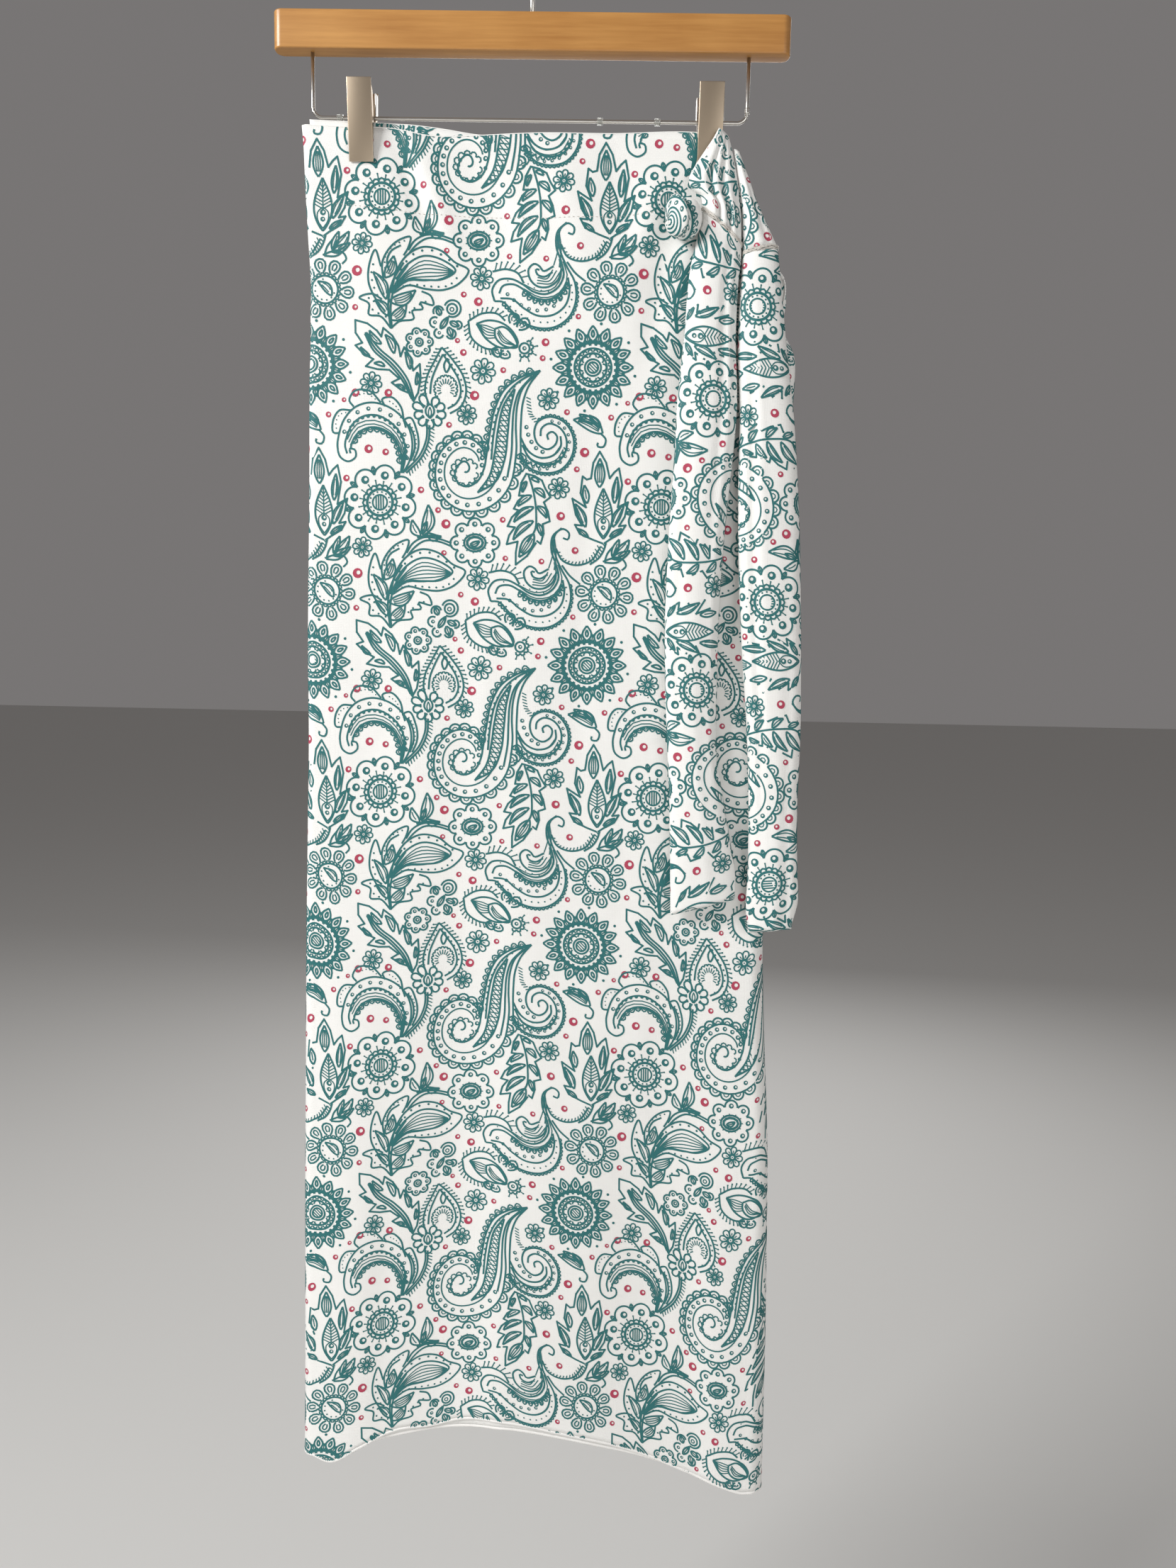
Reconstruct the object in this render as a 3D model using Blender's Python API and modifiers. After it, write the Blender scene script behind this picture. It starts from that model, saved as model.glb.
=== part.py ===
"""A printed wrap sarong with two ties, hung by its waist from the clips of a wooden skirt hanger.

The skirt is one long wrap, folded flat for hanging. Seen from above it is a spiral: the under
panel starts inside at the left, turns the right fold, becomes the back panel, turns the left
fold and becomes the front panel, which ends in a short return behind the right fold. The two
ties are gathered from the right waist corner and knotted there.

Units in the tables are millimetres. +X is to the right as seen from the front, -Y is the front,
+Z is up, and the origin is the inside top of the hook.
"""

import math

import bmesh
import bpy
import numpy as np
from mathutils import Matrix, Vector

MM = 0.001
GAP = 0.3

# Hanger
BAR_LENGTH = 356.0
BAR_HEIGHT = 25.4
BAR_DEPTH = 14.0
BAR_TOP = -72.0
BAR_BOTTOM = BAR_TOP - BAR_HEIGHT
BAR_END_ROUND = 6.0
BAR_EDGE_ROUND = 1.2
HOOK_WIRE = 3.4
HOOK_INSIDE_RADIUS = 19.0
HOOK_SEAT = 10.0
HOOK_FROM = 200.0
HOOK_TO = -42.0
HOOK_STEPS = 26
NECK_STEPS = 8
NECK_HEIGHT = 12.0
NECK_REACH = 11.0
WIRE = 2.6
WIRE_LEVEL = -140.0
WIRE_LEFT = -152.0
WIRE_RIGHT = 150.0
WIRE_BEND = 7.0
WIRE_SEAT = 8.0
STOP_RINGS = {"a": -133.0, "b": 48.0, "c": 88.0}
STOP_RING_LENGTH = 4.0
STOP_RING_WALL = 0.8

# Spring clips: places along the rod, the plates, the ears round the rod and the spring
CLIPS = {"left": -117.5, "right": 124.5}
CLIP_WIDTH = 17.0
CLIP_TOP = -118.0
CLIP_BOTTOM = -170.5
CLIP_PLATE = 1.2
CLIP_SPREAD = 12.5
EAR_TOP = -128.0
EAR_BOTTOM = -142.5
EAR_WALL = 1.0
EAR_DEPTH = 13.0
EAR_BACK = 3.0
EAR_INSET = 0.2
SPRING_RADIUS = 3.0
SPRING_LENGTH = 9.0

# Cloth
WALL = 1.2
LAYER_GAP = 0.4
TIE_WALL = 2.2
INNER = 0.5 * WALL
OUTER = 1.5 * WALL + LAYER_GAP
OUTSIDE = 2.0 * WALL + LAYER_GAP
LEVEL_TOP = -147.0
LEVEL_HEM = -1130.0
BITE = OUTSIDE + 0.4 + GAP

# Side folds of the hung skirt: level, left edge, right edge, hollow at the left fold,
# in the middle and at the right fold (each half of the distance between the inner layers)
PROFILE = [
    (-147, -160.0, 135.0, 0.4, 0.4, 0.4),
    (-158, -159.0, 139.0, 0.4, 0.4, 0.4),
    (-170, -158.5, 143.0, 0.4, 0.4, 0.5),
    (-185, -158.0, 148.0, 0.5, 0.8, 0.7),
    (-205, -157.0, 157.0, 0.7, 1.4, 1.0),
    (-224, -156.0, 167.0, 0.9, 2.0, 1.4),
    (-240, -155.0, 179.0, 1.1, 2.4, 1.8),
    (-255, -154.5, 182.0, 1.2, 2.7, 2.2),
    (-272, -155.0, 180.0, 1.4, 3.0, 2.6),
    (-286, -155.0, 188.0, 1.5, 3.3, 3.0),
    (-312, -156.0, 190.0, 1.8, 3.9, 3.6),
    (-345, -156.5, 187.0, 2.1, 4.6, 4.4),
    (-390, -157.0, 185.0, 2.6, 5.6, 5.4),
    (-440, -158.0, 184.0, 3.0, 6.6, 6.4),
    (-500, -159.0, 183.0, 3.5, 7.8, 7.4),
    (-570, -159.0, 182.5, 4.0, 8.8, 8.2),
    (-640, -160.5, 182.5, 4.4, 9.6, 8.8),
    (-710, -162.0, 183.0, 4.8, 10.4, 9.2),
    (-780, -163.0, 187.0, 5.2, 11.0, 9.6),
    (-850, -164.0, 192.0, 5.6, 11.6, 10.0),
    (-920, -165.0, 194.5, 5.8, 12.2, 10.2),
    (-980, -165.5, 196.0, 6.0, 12.6, 10.4),
    (-1030, -166.0, 197.0, 6.0, 13.0, 10.4),
    (-1070, -166.5, 197.5, 6.0, 13.2, 10.4),
    (-1105, -167.0, 198.0, 6.0, 13.4, 10.4),
    (-1130, -167.5, 198.5, 6.0, 13.6, 10.4),
]

# Waist and hem lines of each panel: place across, level
WAIST = {
    "front": [(-157, -146), (-127, -147), (-96, -147.5), (-70, -152), (-40, -151.5),
              (0, -149.5), (60, -149), (112, -147.5), (131, -148.5)],
    "under": [(-160, -142), (-128, -143), (-93, -144), (-60, -147), (-40, -150),
              (60, -148.5), (131, -148.5)],
    "back": [(-157, -146), (-96, -146.5), (-40, -150), (60, -149), (131, -148.5)],
}
HEM = {
    "front": [(-158, -1144), (-148, -1147), (-121, -1133), (-92, -1118), (-65, -1114),
              (-40, -1107), (0, -1106), (37, -1113), (67, -1120), (97, -1130), (126, -1142),
              (156, -1154), (180, -1163)],
    "under": [(-140, -1138), (-92, -1123), (-40, -1114), (0, -1112), (40, -1118), (97, -1133),
              (156, -1154), (180, -1163)],
    "back": [(-158, -1144), (-120, -1139), (-87, -1134), (-46, -1132), (9, -1129), (60, -1131),
             (110, -1141), (156, -1154), (180, -1163)],
}

# Soft folds that all the layers share: place at the top and at the foot of the fold, first and
# last level, half width, and how far it comes forward (less than nothing is a trough)
SHARED_FOLDS = [
    (-66, -22, -140, -290, 34, -3.4),
    (-104, -118, -170, -420, 24, 1.6),
    (52, 78, -150, -330, 40, 1.8),
    (-112, -126, -620, -1190, 30, 3.0),
    (-38, -46, -560, -1190, 36, -3.2),
    (34, 28, -700, -1190, 34, 2.6),
    (104, 118, -760, -1190, 34, -2.4),
]
# Folds of the front alone, which lift it and the under panel off the hollow
FRONT_FOLDS = [
    (-134, -140, -330, -1190, 20, 1.6),
    (-70, -84, -260, -980, 26, 1.4),
    (6, -6, -230, -1190, 30, 2.2),
    (66, 60, -380, -1190, 24, 1.4),
    (150, 166, -700, -1190, 26, 2.0),
]

# Where the panels start and stop round the fold, as a share of each stretch: 0 to 1 across the
# front, 1 to 2 round the right fold, 2 to 3 across the back, 3 to 4 round the left fold
FRONT_COLUMNS = 24
FOLD_COLUMNS = 6
BACK_COLUMNS = 24
RETURN_COLUMNS = 3
UNDER_START_COLUMN = 3
LEFT_HOLLOW = 3
RIGHT_HOLLOW = 5
SWELL = 0.8
BACK_BLEND_FROM = 2.3
BACK_BLEND = 0.6
FREE_FOLD_RISE = 1.6
SEAM_GAP = 0.5
TIE_SEAM_GAP = 0.8

# Waist tabs and ties, one row for each section: left edge (across, depth, level), right edge
# (across, depth, level), and how far the section arches forward
TAB_LEFT = [
    (130.5, -11.6, -148.5, 136.5, -6.4, -151.0, 1.2),
    (127.0, -11.2, -155.0, 138.0, -7.0, -157.0, 1.8),
    (121.5, -10.6, -163.0, 140.0, -7.6, -166.0, 2.6),
    (115.5, -9.8, -172.0, 142.0, -8.0, -175.0, 3.6),
    (111.5, -8.8, -180.0, 143.5, -8.4, -184.0, 4.4),
    (113.5, -8.6, -187.0, 145.0, -8.8, -194.0, 5.0),
    (120.0, -8.9, -192.5, 146.4, -9.3, -206.0, 5.8),
    (120.5, -9.2, -199.5, 147.2, -9.8, -222.0, 6.2),
]
TIE_LEFT = [
    (120.4, -9.8, -211.0, 147.3, -10.2, -232.0, 6.5),
    (116.4, -11.4, -228.0, 146.6, -11.4, -240.0, 7.8),
    (113.0, -12.2, -250.0, 145.4, -12.0, -256.0, 8.2),
    (111.0, -13.0, -286.0, 145.2, -12.8, -290.0, 8.6),
    (107.6, -13.8, -330.0, 147.4, -13.6, -332.0, 8.8),
    (106.4, -14.4, -370.0, 145.4, -14.4, -372.0, 8.6),
    (104.2, -15.2, -420.0, 141.4, -15.2, -422.0, 8.8),
    (103.0, -16.0, -480.0, 139.2, -16.0, -480.0, 9.0),
    (104.4, -16.6, -530.0, 139.4, -16.6, -530.0, 8.8),
    (107.2, -17.2, -575.0, 140.4, -17.0, -574.0, 8.2),
    (109.4, -17.6, -610.0, 145.6, -17.4, -606.0, 8.8),
    (111.0, -18.0, -648.0, 152.6, -17.6, -642.0, 8.6),
    (112.0, -18.2, -676.0, 157.0, -17.8, -664.0, 7.4),
    (112.6, -18.4, -694.0, 157.6, -18.0, -682.0, 6.4),
]
TAB_RIGHT = [
    (142.0, -6.4, -160.0, 144.2, -6.0, -161.0, 0.8),
    (143.6, -7.0, -169.0, 147.6, -6.4, -170.0, 1.4),
    (146.0, -7.6, -181.0, 152.0, -6.8, -181.0, 2.4),
    (148.2, -8.2, -194.0, 157.0, -7.2, -194.0, 3.6),
    (149.6, -8.8, -209.0, 163.8, -7.8, -208.0, 4.8),
    (150.4, -9.4, -228.0, 171.8, -8.6, -224.0, 6.0),
]
TIE_RIGHT = [
    (149.6, -10.8, -244.0, 174.4, -10.2, -242.0, 7.2),
    (148.8, -11.8, -266.0, 177.4, -11.4, -266.0, 8.0),
    (149.0, -12.6, -298.0, 181.4, -12.4, -298.0, 8.6),
    (151.4, -13.4, -340.0, 187.6, -13.2, -340.0, 9.0),
    (152.2, -14.2, -392.0, 192.6, -14.0, -392.0, 9.2),
    (154.6, -15.0, -446.0, 196.2, -15.0, -446.0, 9.2),
    (158.4, -15.8, -500.0, 198.8, -15.8, -500.0, 8.8),
    (164.0, -16.6, -560.0, 200.8, -16.4, -560.0, 8.6),
    (167.4, -17.2, -616.0, 200.6, -17.0, -616.0, 8.6),
    (168.4, -17.8, -662.0, 202.4, -17.6, -660.0, 8.2),
    (168.0, -18.2, -690.0, 204.0, -17.8, -684.0, 7.2),
    (170.0, -18.4, -706.0, 200.0, -18.0, -703.0, 6.2),
]
SECTION_POINTS = 9
SECTION_WRAP = math.radians(104.0)

# Knot: a curled bundle of cloth, its nose pointing down to the left
KNOT_CENTRE = (106.4, -15.85, -208.0)
KNOT_RADII = (12.6, 11.0, 14.6)
KNOT_NOSE = (-0.62, -0.60, -0.34)
KNOT_TURNS = 1.6
KNOT_GROOVE = 0.10


def clear_scene():
    """Remove what a new file holds."""
    for thing in list(bpy.data.objects):
        bpy.data.objects.remove(thing, do_unlink=True)


def collection(name):
    """Make a collection in the scene."""
    made = bpy.data.collections.new(name)
    bpy.context.scene.collection.children.link(made)
    return made


def material(name, colour, roughness, metallic=0.0):
    """Make a Principled material with a colour in linear values."""
    made = bpy.data.materials.new(name)
    made.use_nodes = True
    shader = made.node_tree.nodes["Principled BSDF"]
    shader.inputs["Base Color"].default_value = (*colour, 1.0)
    shader.inputs["Roughness"].default_value = roughness
    shader.inputs["Metallic"].default_value = metallic
    made.diffuse_color = (*colour, 1.0)
    return made


def add_object(name, data, finish, group):
    """Link an object for a mesh or curve, with its material."""
    made = bpy.data.objects.new(name, data)
    if finish is not None:
        data.materials.append(finish)
    group.objects.link(made)
    return made


def across(table, level, column):
    """Read one column of a table at a level, between its rows."""
    levels = [-row[0] for row in table]
    return float(np.interp(-level, levels, [row[column] for row in table]))


def line_at(line, place):
    """Read a waist or hem line at a place across the skirt."""
    return float(np.interp(place, [p[0] for p in line], [p[1] for p in line]))


def fold_height(folds, place, level):
    """Sum of the soft folds at a place, each a smooth ridge that fades at its two ends."""
    total = 0.0
    for top, foot, first, last, half_width, height in folds:
        along = (level - first) / (last - first)
        if not 0.0 < along < 1.0:
            continue
        middle = top + (foot - top) * along
        aside = (place - middle) / half_width
        if last < LEVEL_HEM:
            fade = math.sin(0.5 * math.pi * min(1.0, FREE_FOLD_RISE * along))
        else:
            fade = math.sin(math.pi * along)
        total += height * fade * math.exp(-aside * aside)
    return total


def fold_centres(level):
    """Places of the centres of the two side folds at a level."""
    left = across(PROFILE, level, 1) + across(PROFILE, level, 3) + OUTSIDE
    right = across(PROFILE, level, 2) - across(PROFILE, level, 5) - OUTSIDE
    return left, right


def ring_point(station, offset, level):
    """A point round the folded skirt at a level, an offset outside the inner hollow.

    Whole numbers of the station are the ends of its four stretches: the front from left to
    right, the right fold, the back from right to left, and the left fold.
    """
    hollow_left = across(PROFILE, level, 3)
    hollow_middle = across(PROFILE, level, 4)
    hollow_right = across(PROFILE, level, 5)
    left_centre, right_centre = fold_centres(level)
    station = station % 4.0
    stretch = int(station)
    part = station - stretch
    if stretch in (0, 2):
        share = part if stretch == 0 else 1.0 - part
        place = left_centre + (right_centre - left_centre) * share
        swell = math.sin(math.pi * share) ** SWELL
        end = hollow_left if share < 0.5 else hollow_right
        hollow = end + (hollow_middle - end) * swell
        depth = hollow + offset
        if stretch == 0:
            depth += fold_height(FRONT_FOLDS, place, level)
            depth = -depth
    else:
        hollow = hollow_right if stretch == 1 else hollow_left
        centre = right_centre if stretch == 1 else left_centre
        side = 1.0 if stretch == 1 else -1.0
        angle = math.pi * (part - 0.5)
        place = centre + side * (hollow + offset) * math.cos(angle)
        depth = side * (hollow + offset) * math.sin(angle)
        front_lift = fold_height(FRONT_FOLDS, centre, level)
        depth -= front_lift * 0.5 * (1.0 - side * math.sin(angle))
    depth -= fold_height(SHARED_FOLDS, place, level)
    return place, depth


def seam_step(column, offset, level, opening):
    """Part of a side fold's stretch that a seam opening in millimetres takes at a level."""
    radius = across(PROFILE, level, column) + offset
    return opening / (math.pi * radius)


def panel_rows(stations, offsets, lines, first_seam=None, last_seam=None):
    """Points of a panel, a row for each level of the profile, between its waist and hem.

    A seam is given as its fold's hollow column in the profile and how far it stands open.
    """
    waist, hem = lines
    rows = []
    for row in PROFILE:
        level = row[0]
        share = (level - LEVEL_TOP) / (LEVEL_HEM - LEVEL_TOP)
        here = list(stations)
        if first_seam:
            here[0] += seam_step(first_seam[0], offsets[0], level, first_seam[1])
        if last_seam:
            here[-1] -= seam_step(last_seam[0], offsets[-1], level, last_seam[1])
        points = []
        for station, offset in zip(here, offsets):
            place, depth = ring_point(station, offset, level)
            left, right = fold_centres(level)
            inside = min(max(place, left), right)
            top = line_at(waist, inside)
            foot = line_at(hem, inside)
            points.append((place, depth, top + (foot - top) * share))
        rows.append(points)
    return rows


def grid_mesh(name, rows):
    """An open surface from rows of points in millimetres."""
    work = bmesh.new()
    verts = [[work.verts.new(Vector(point) * MM) for point in row] for row in rows]
    for upper, lower in zip(verts, verts[1:]):
        for i in range(len(upper) - 1):
            work.faces.new((upper[i], lower[i], lower[i + 1], upper[i + 1]))
    mesh = bpy.data.meshes.new(name)
    work.to_mesh(mesh)
    work.free()
    mesh.shade_smooth()
    return mesh


def cloth_wall(name, rows, wall, finish, group):
    """A sheet of cloth of one thickness on its middle surface."""
    made = add_object(name, grid_mesh(name, rows), finish, group)
    solid = made.modifiers.new("Wall", "SOLIDIFY")
    solid.thickness = wall * MM
    solid.offset = 0.0
    solid.use_even_offset = True
    return made


def stretch_stations():
    """Stations of the shared columns, so that the layers lie on each other facet on facet."""
    front = [i / FRONT_COLUMNS for i in range(FRONT_COLUMNS)]
    right = [1.0 + i / FOLD_COLUMNS for i in range(FOLD_COLUMNS)]
    back = [2.0 + i / BACK_COLUMNS for i in range(BACK_COLUMNS)]
    return front, right, back


def build_front_panel(finish, group):
    """The outer wrap: round the left fold, across the front, and a short return at the right."""
    front, right, back = stretch_stations()
    left = [-1.0 + i / FOLD_COLUMNS for i in range(2, FOLD_COLUMNS)]
    stations = left + front + right + back[:RETURN_COLUMNS + 1]
    offsets = [OUTER] * len(stations)
    rows = panel_rows(stations, offsets, (WAIST["front"], HEM["front"]))
    return cloth_wall("front_panel", rows, WALL, finish, group)


def build_under_panel(finish, group):
    """The inner wrap, from its free edge inside at the left to the side seam in the right fold."""
    front, right, _ = stretch_stations()
    stations = front[UNDER_START_COLUMN:] + right[:FOLD_COLUMNS // 2 + 1]
    offsets = [INNER] * len(stations)
    rows = panel_rows(stations, offsets, (WAIST["under"], HEM["under"]),
                      last_seam=(RIGHT_HOLLOW, SEAM_GAP))
    return cloth_wall("under_panel", rows, WALL, finish, group)


def build_back_panel(finish, group):
    """The back, from the side seam in the right fold to the one behind the left fold."""
    _, right, back = stretch_stations()
    stations = right[FOLD_COLUMNS // 2:] + back + [3.0, 3.0 + 1.0 / FOLD_COLUMNS,
                                                   3.0 + 2.0 / FOLD_COLUMNS]
    offsets = []
    for station in stations:
        blend = min(1.0, max(0.0, (station - BACK_BLEND_FROM) / BACK_BLEND))
        blend = blend * blend * (3.0 - 2.0 * blend)
        offsets.append(INNER + (OUTER - INNER) * blend)
    rows = panel_rows(stations, offsets, (WAIST["back"], HEM["back"]),
                      first_seam=(RIGHT_HOLLOW, SEAM_GAP), last_seam=(LEFT_HOLLOW, SEAM_GAP))
    return cloth_wall("back_panel", rows, WALL, finish, group)


def section(row):
    """A soft arched section of a tab or tie, its edges rolled under."""
    left = Vector(row[0:3])
    right = Vector(row[3:6])
    arch = row[6]
    middle = (left + right) * 0.5
    half = (right - left) * 0.5
    points = []
    for i in range(SECTION_POINTS):
        turn = SECTION_WRAP * (2.0 * i / (SECTION_POINTS - 1) - 1.0)
        point = middle + half * math.sin(turn)
        point.y -= arch * math.cos(turn)
        points.append(tuple(point))
    return points


def below_seam(row):
    """The section that a tie starts with: the last one of its tab, moved down past the seam."""
    left = Vector(row[0:3])
    right = Vector(row[3:6])
    along = (right - left).normalized()
    down = Vector((along.z, 0.0, -along.x)).normalized() * TIE_SEAM_GAP
    return (*(left + down), *(right + down), row[6])


def build_strap(name, table, finish, group):
    """A tab or tie from its table of sections."""
    return cloth_wall(name, [section(row) for row in table], TIE_WALL, finish, group)


def build_knot(finish, group):
    """The curled bundle: a ball whose surface winds in a spiral groove towards its nose."""
    work = bmesh.new()
    bmesh.ops.create_uvsphere(work, u_segments=20, v_segments=12, radius=1.0)
    nose = Vector(KNOT_NOSE).normalized()
    turn = Vector((0.0, 0.0, 1.0)).rotation_difference(nose).to_matrix()
    for vert in work.verts:
        polar = math.acos(max(-1.0, min(1.0, vert.co.z)))
        around = math.atan2(vert.co.y, vert.co.x)
        fade = math.sin(polar)
        groove = 1.0 + KNOT_GROOVE * fade * math.cos(around - 2.0 * KNOT_TURNS * polar)
        place = turn @ (vert.co * groove)
        size = Vector(KNOT_RADII)
        vert.co = Vector((place.x * size.x, place.y * size.y, place.z * size.z))
        vert.co = (vert.co + Vector(KNOT_CENTRE)) * MM
    mesh = bpy.data.meshes.new("knot")
    work.to_mesh(mesh)
    work.free()
    mesh.shade_smooth()
    return add_object("knot", mesh, finish, group)


def wire_curve(name, points, diameter, finish, group):
    """A round wire along points in millimetres, with filled caps."""
    curve = bpy.data.curves.new(name, "CURVE")
    curve.dimensions = "3D"
    curve.bevel_depth = 0.5 * diameter * MM
    curve.bevel_resolution = 2
    curve.use_fill_caps = True
    spline = curve.splines.new("POLY")
    spline.points.add(len(points) - 1)
    for spot, point in zip(spline.points, points):
        spot.co = (point[0] * MM, point[1] * MM, point[2] * MM, 1.0)
    return add_object(name, curve, finish, group)


def arc(centre_x, centre_z, radius, start, end, steps):
    """Points of an arc in the hanger's plane, angles in degrees from +X towards +Z."""
    points = []
    for i in range(steps + 1):
        angle = math.radians(start + (end - start) * i / steps)
        points.append((centre_x + radius * math.cos(angle), 0.0,
                       centre_z + radius * math.sin(angle)))
    return points


def build_hook(finish, group):
    """Question-mark hook: its arc is centred over the shank that screws into the bar."""
    radius = HOOK_INSIDE_RADIUS + 0.5 * HOOK_WIRE
    bow = arc(0.0, -HOOK_INSIDE_RADIUS, radius, HOOK_FROM, HOOK_TO, HOOK_STEPS)
    last = Vector(bow[-1])
    turn = math.radians(HOOK_TO)
    heading = Vector((math.sin(turn), 0.0, -math.cos(turn)))
    foot = Vector((0.0, 0.0, BAR_TOP + NECK_HEIGHT))
    upright = foot + Vector((0.0, 0.0, NECK_REACH))
    handles = (last, last + heading * NECK_REACH, upright, foot)
    neck = []
    for i in range(1, NECK_STEPS + 1):
        t = i / NECK_STEPS
        u = 1.0 - t
        weights = (u ** 3, 3 * u * u * t, 3 * u * t * t, t ** 3)
        spot = Vector((0.0, 0.0, 0.0))
        for weight, handle in zip(weights, handles):
            spot += handle * weight
        neck.append(tuple(spot))
    end = (0.0, 0.0, BAR_TOP - HOOK_SEAT + GAP)
    return wire_curve("hanger_hook", bow + neck + [end], HOOK_WIRE, finish, group)


def build_wire(finish, group):
    """The rod that carries the clips, its two ends bent up into the bar."""
    top = BAR_BOTTOM + WIRE_SEAT - GAP
    bend_z = WIRE_LEVEL + WIRE_BEND
    points = [(WIRE_LEFT, 0.0, top)]
    points += arc(WIRE_LEFT + WIRE_BEND, bend_z, WIRE_BEND, 180.0, 270.0, 6)
    points += arc(WIRE_RIGHT - WIRE_BEND, bend_z, WIRE_BEND, 270.0, 360.0, 6)
    points.append((WIRE_RIGHT, 0.0, top))
    return wire_curve("hanger_wire", points, WIRE, finish, group)


def cylinder_cutter(name, radius, depth, centre, axis, cutters):
    """A round cutter, its axis along X or Z."""
    work = bmesh.new()
    bmesh.ops.create_cone(work, cap_ends=True, segments=16, radius1=radius * MM,
                          radius2=radius * MM, depth=depth * MM)
    if axis == "X":
        bmesh.ops.rotate(work, cent=(0, 0, 0), matrix=Matrix.Rotation(math.pi / 2, 3, "Y"),
                         verts=work.verts)
    bmesh.ops.translate(work, vec=Vector(centre) * MM, verts=work.verts)
    mesh = bpy.data.meshes.new(name)
    work.to_mesh(mesh)
    work.free()
    made = add_object(name, mesh, None, cutters)
    made.display_type = "WIRE"
    made.hide_render = True
    return made


def boolean(target, tool, operation):
    """Cut or join a tool into a target."""
    step = target.modifiers.new(operation.title(), "BOOLEAN")
    step.operation = operation
    step.object = tool
    step.solver = "EXACT"


def box_mesh(name, size, centre, turn=None):
    """A box of a size in millimetres, turned about its centre."""
    work = bmesh.new()
    bmesh.ops.create_cube(work, size=1.0)
    bmesh.ops.scale(work, vec=Vector(size) * MM, verts=work.verts)
    if turn is not None:
        bmesh.ops.rotate(work, cent=(0, 0, 0), matrix=turn, verts=work.verts)
    bmesh.ops.translate(work, vec=Vector(centre) * MM, verts=work.verts)
    mesh = bpy.data.meshes.new(name)
    work.to_mesh(mesh)
    work.free()
    return mesh


def build_bar(finish, group, cutters):
    """The wooden bar, with round ends, eased edges and blind holes for the hook and the rod."""
    mesh = box_mesh("hanger_bar", (BAR_LENGTH, BAR_DEPTH, BAR_HEIGHT),
                    (0.0, 0.0, BAR_TOP - 0.5 * BAR_HEIGHT))
    work = bmesh.new()
    work.from_mesh(mesh)
    upright = [e for e in work.edges
               if abs(e.verts[0].co.z - e.verts[1].co.z) > 0.5 * BAR_HEIGHT * MM]
    bmesh.ops.bevel(work, geom=upright, offset=BAR_END_ROUND * MM, segments=4, profile=0.5,
                    affect="EDGES")
    work.to_mesh(mesh)
    work.free()
    made = add_object("hanger_bar", mesh, finish, group)
    ease = made.modifiers.new("Eased edges", "BEVEL")
    ease.width = BAR_EDGE_ROUND * MM
    ease.segments = 2
    ease.limit_method = "ANGLE"
    ease.angle_limit = math.radians(50.0)
    hole = cylinder_cutter("hook_hole", 0.5 * HOOK_WIRE + GAP, 2.0 * HOOK_SEAT,
                           (0.0, 0.0, BAR_TOP), "Z", cutters)
    boolean(made, hole, "DIFFERENCE")
    for side, place in (("left", WIRE_LEFT), ("right", WIRE_RIGHT)):
        hole = cylinder_cutter("rod_hole_" + side, 0.5 * WIRE + GAP, 2.0 * WIRE_SEAT,
                               (place, 0.0, BAR_BOTTOM), "Z", cutters)
        boolean(made, hole, "DIFFERENCE")
    return made


def clip_plate(name, place, side, finish, group):
    """One plate of a spring clip, from its jaw on the cloth up to its splayed handle."""
    height = CLIP_TOP - CLIP_BOTTOM
    lean = math.atan2(CLIP_SPREAD - BITE, height)
    mid_depth = side * 0.5 * (BITE + CLIP_SPREAD + CLIP_PLATE)
    turn = Matrix.Rotation(-side * lean, 3, "X")
    mesh = box_mesh(name, (CLIP_WIDTH, CLIP_PLATE, height),
                    (place, mid_depth, 0.5 * (CLIP_TOP + CLIP_BOTTOM)), turn)
    return add_object(name, mesh, finish, group)


def build_clip(side_name, place, finish, spring_finish, group, cutters):
    """A spring clip: front plate with two ears round the rod, back plate, and the spring."""
    front = clip_plate("clip_" + side_name + "_front", place, -1.0, finish, group)
    for part, edge in (("a", -1.0), ("b", 1.0)):
        ear_place = place + edge * (0.5 * (CLIP_WIDTH - EAR_WALL) - EAR_INSET)
        centre = (ear_place, EAR_BACK - 0.5 * EAR_DEPTH, 0.5 * (EAR_TOP + EAR_BOTTOM))
        mesh = box_mesh("ear", (EAR_WALL, EAR_DEPTH, EAR_TOP - EAR_BOTTOM), centre)
        ear = add_object("ear_" + side_name + "_" + part, mesh, None, cutters)
        ear.display_type = "WIRE"
        ear.hide_render = True
        boolean(front, ear, "UNION")
    bore = cylinder_cutter("rod_bore_" + side_name, 0.5 * WIRE + GAP, 1.2 * CLIP_WIDTH,
                           (place, 0.0, WIRE_LEVEL), "X", cutters)
    boolean(front, bore, "DIFFERENCE")
    clip_plate("clip_" + side_name + "_back", place, 1.0, finish, group)
    sleeve("clip_" + side_name + "_spring", place, SPRING_LENGTH,
           SPRING_RADIUS - 0.5 * WIRE - GAP, spring_finish, group)


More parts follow.
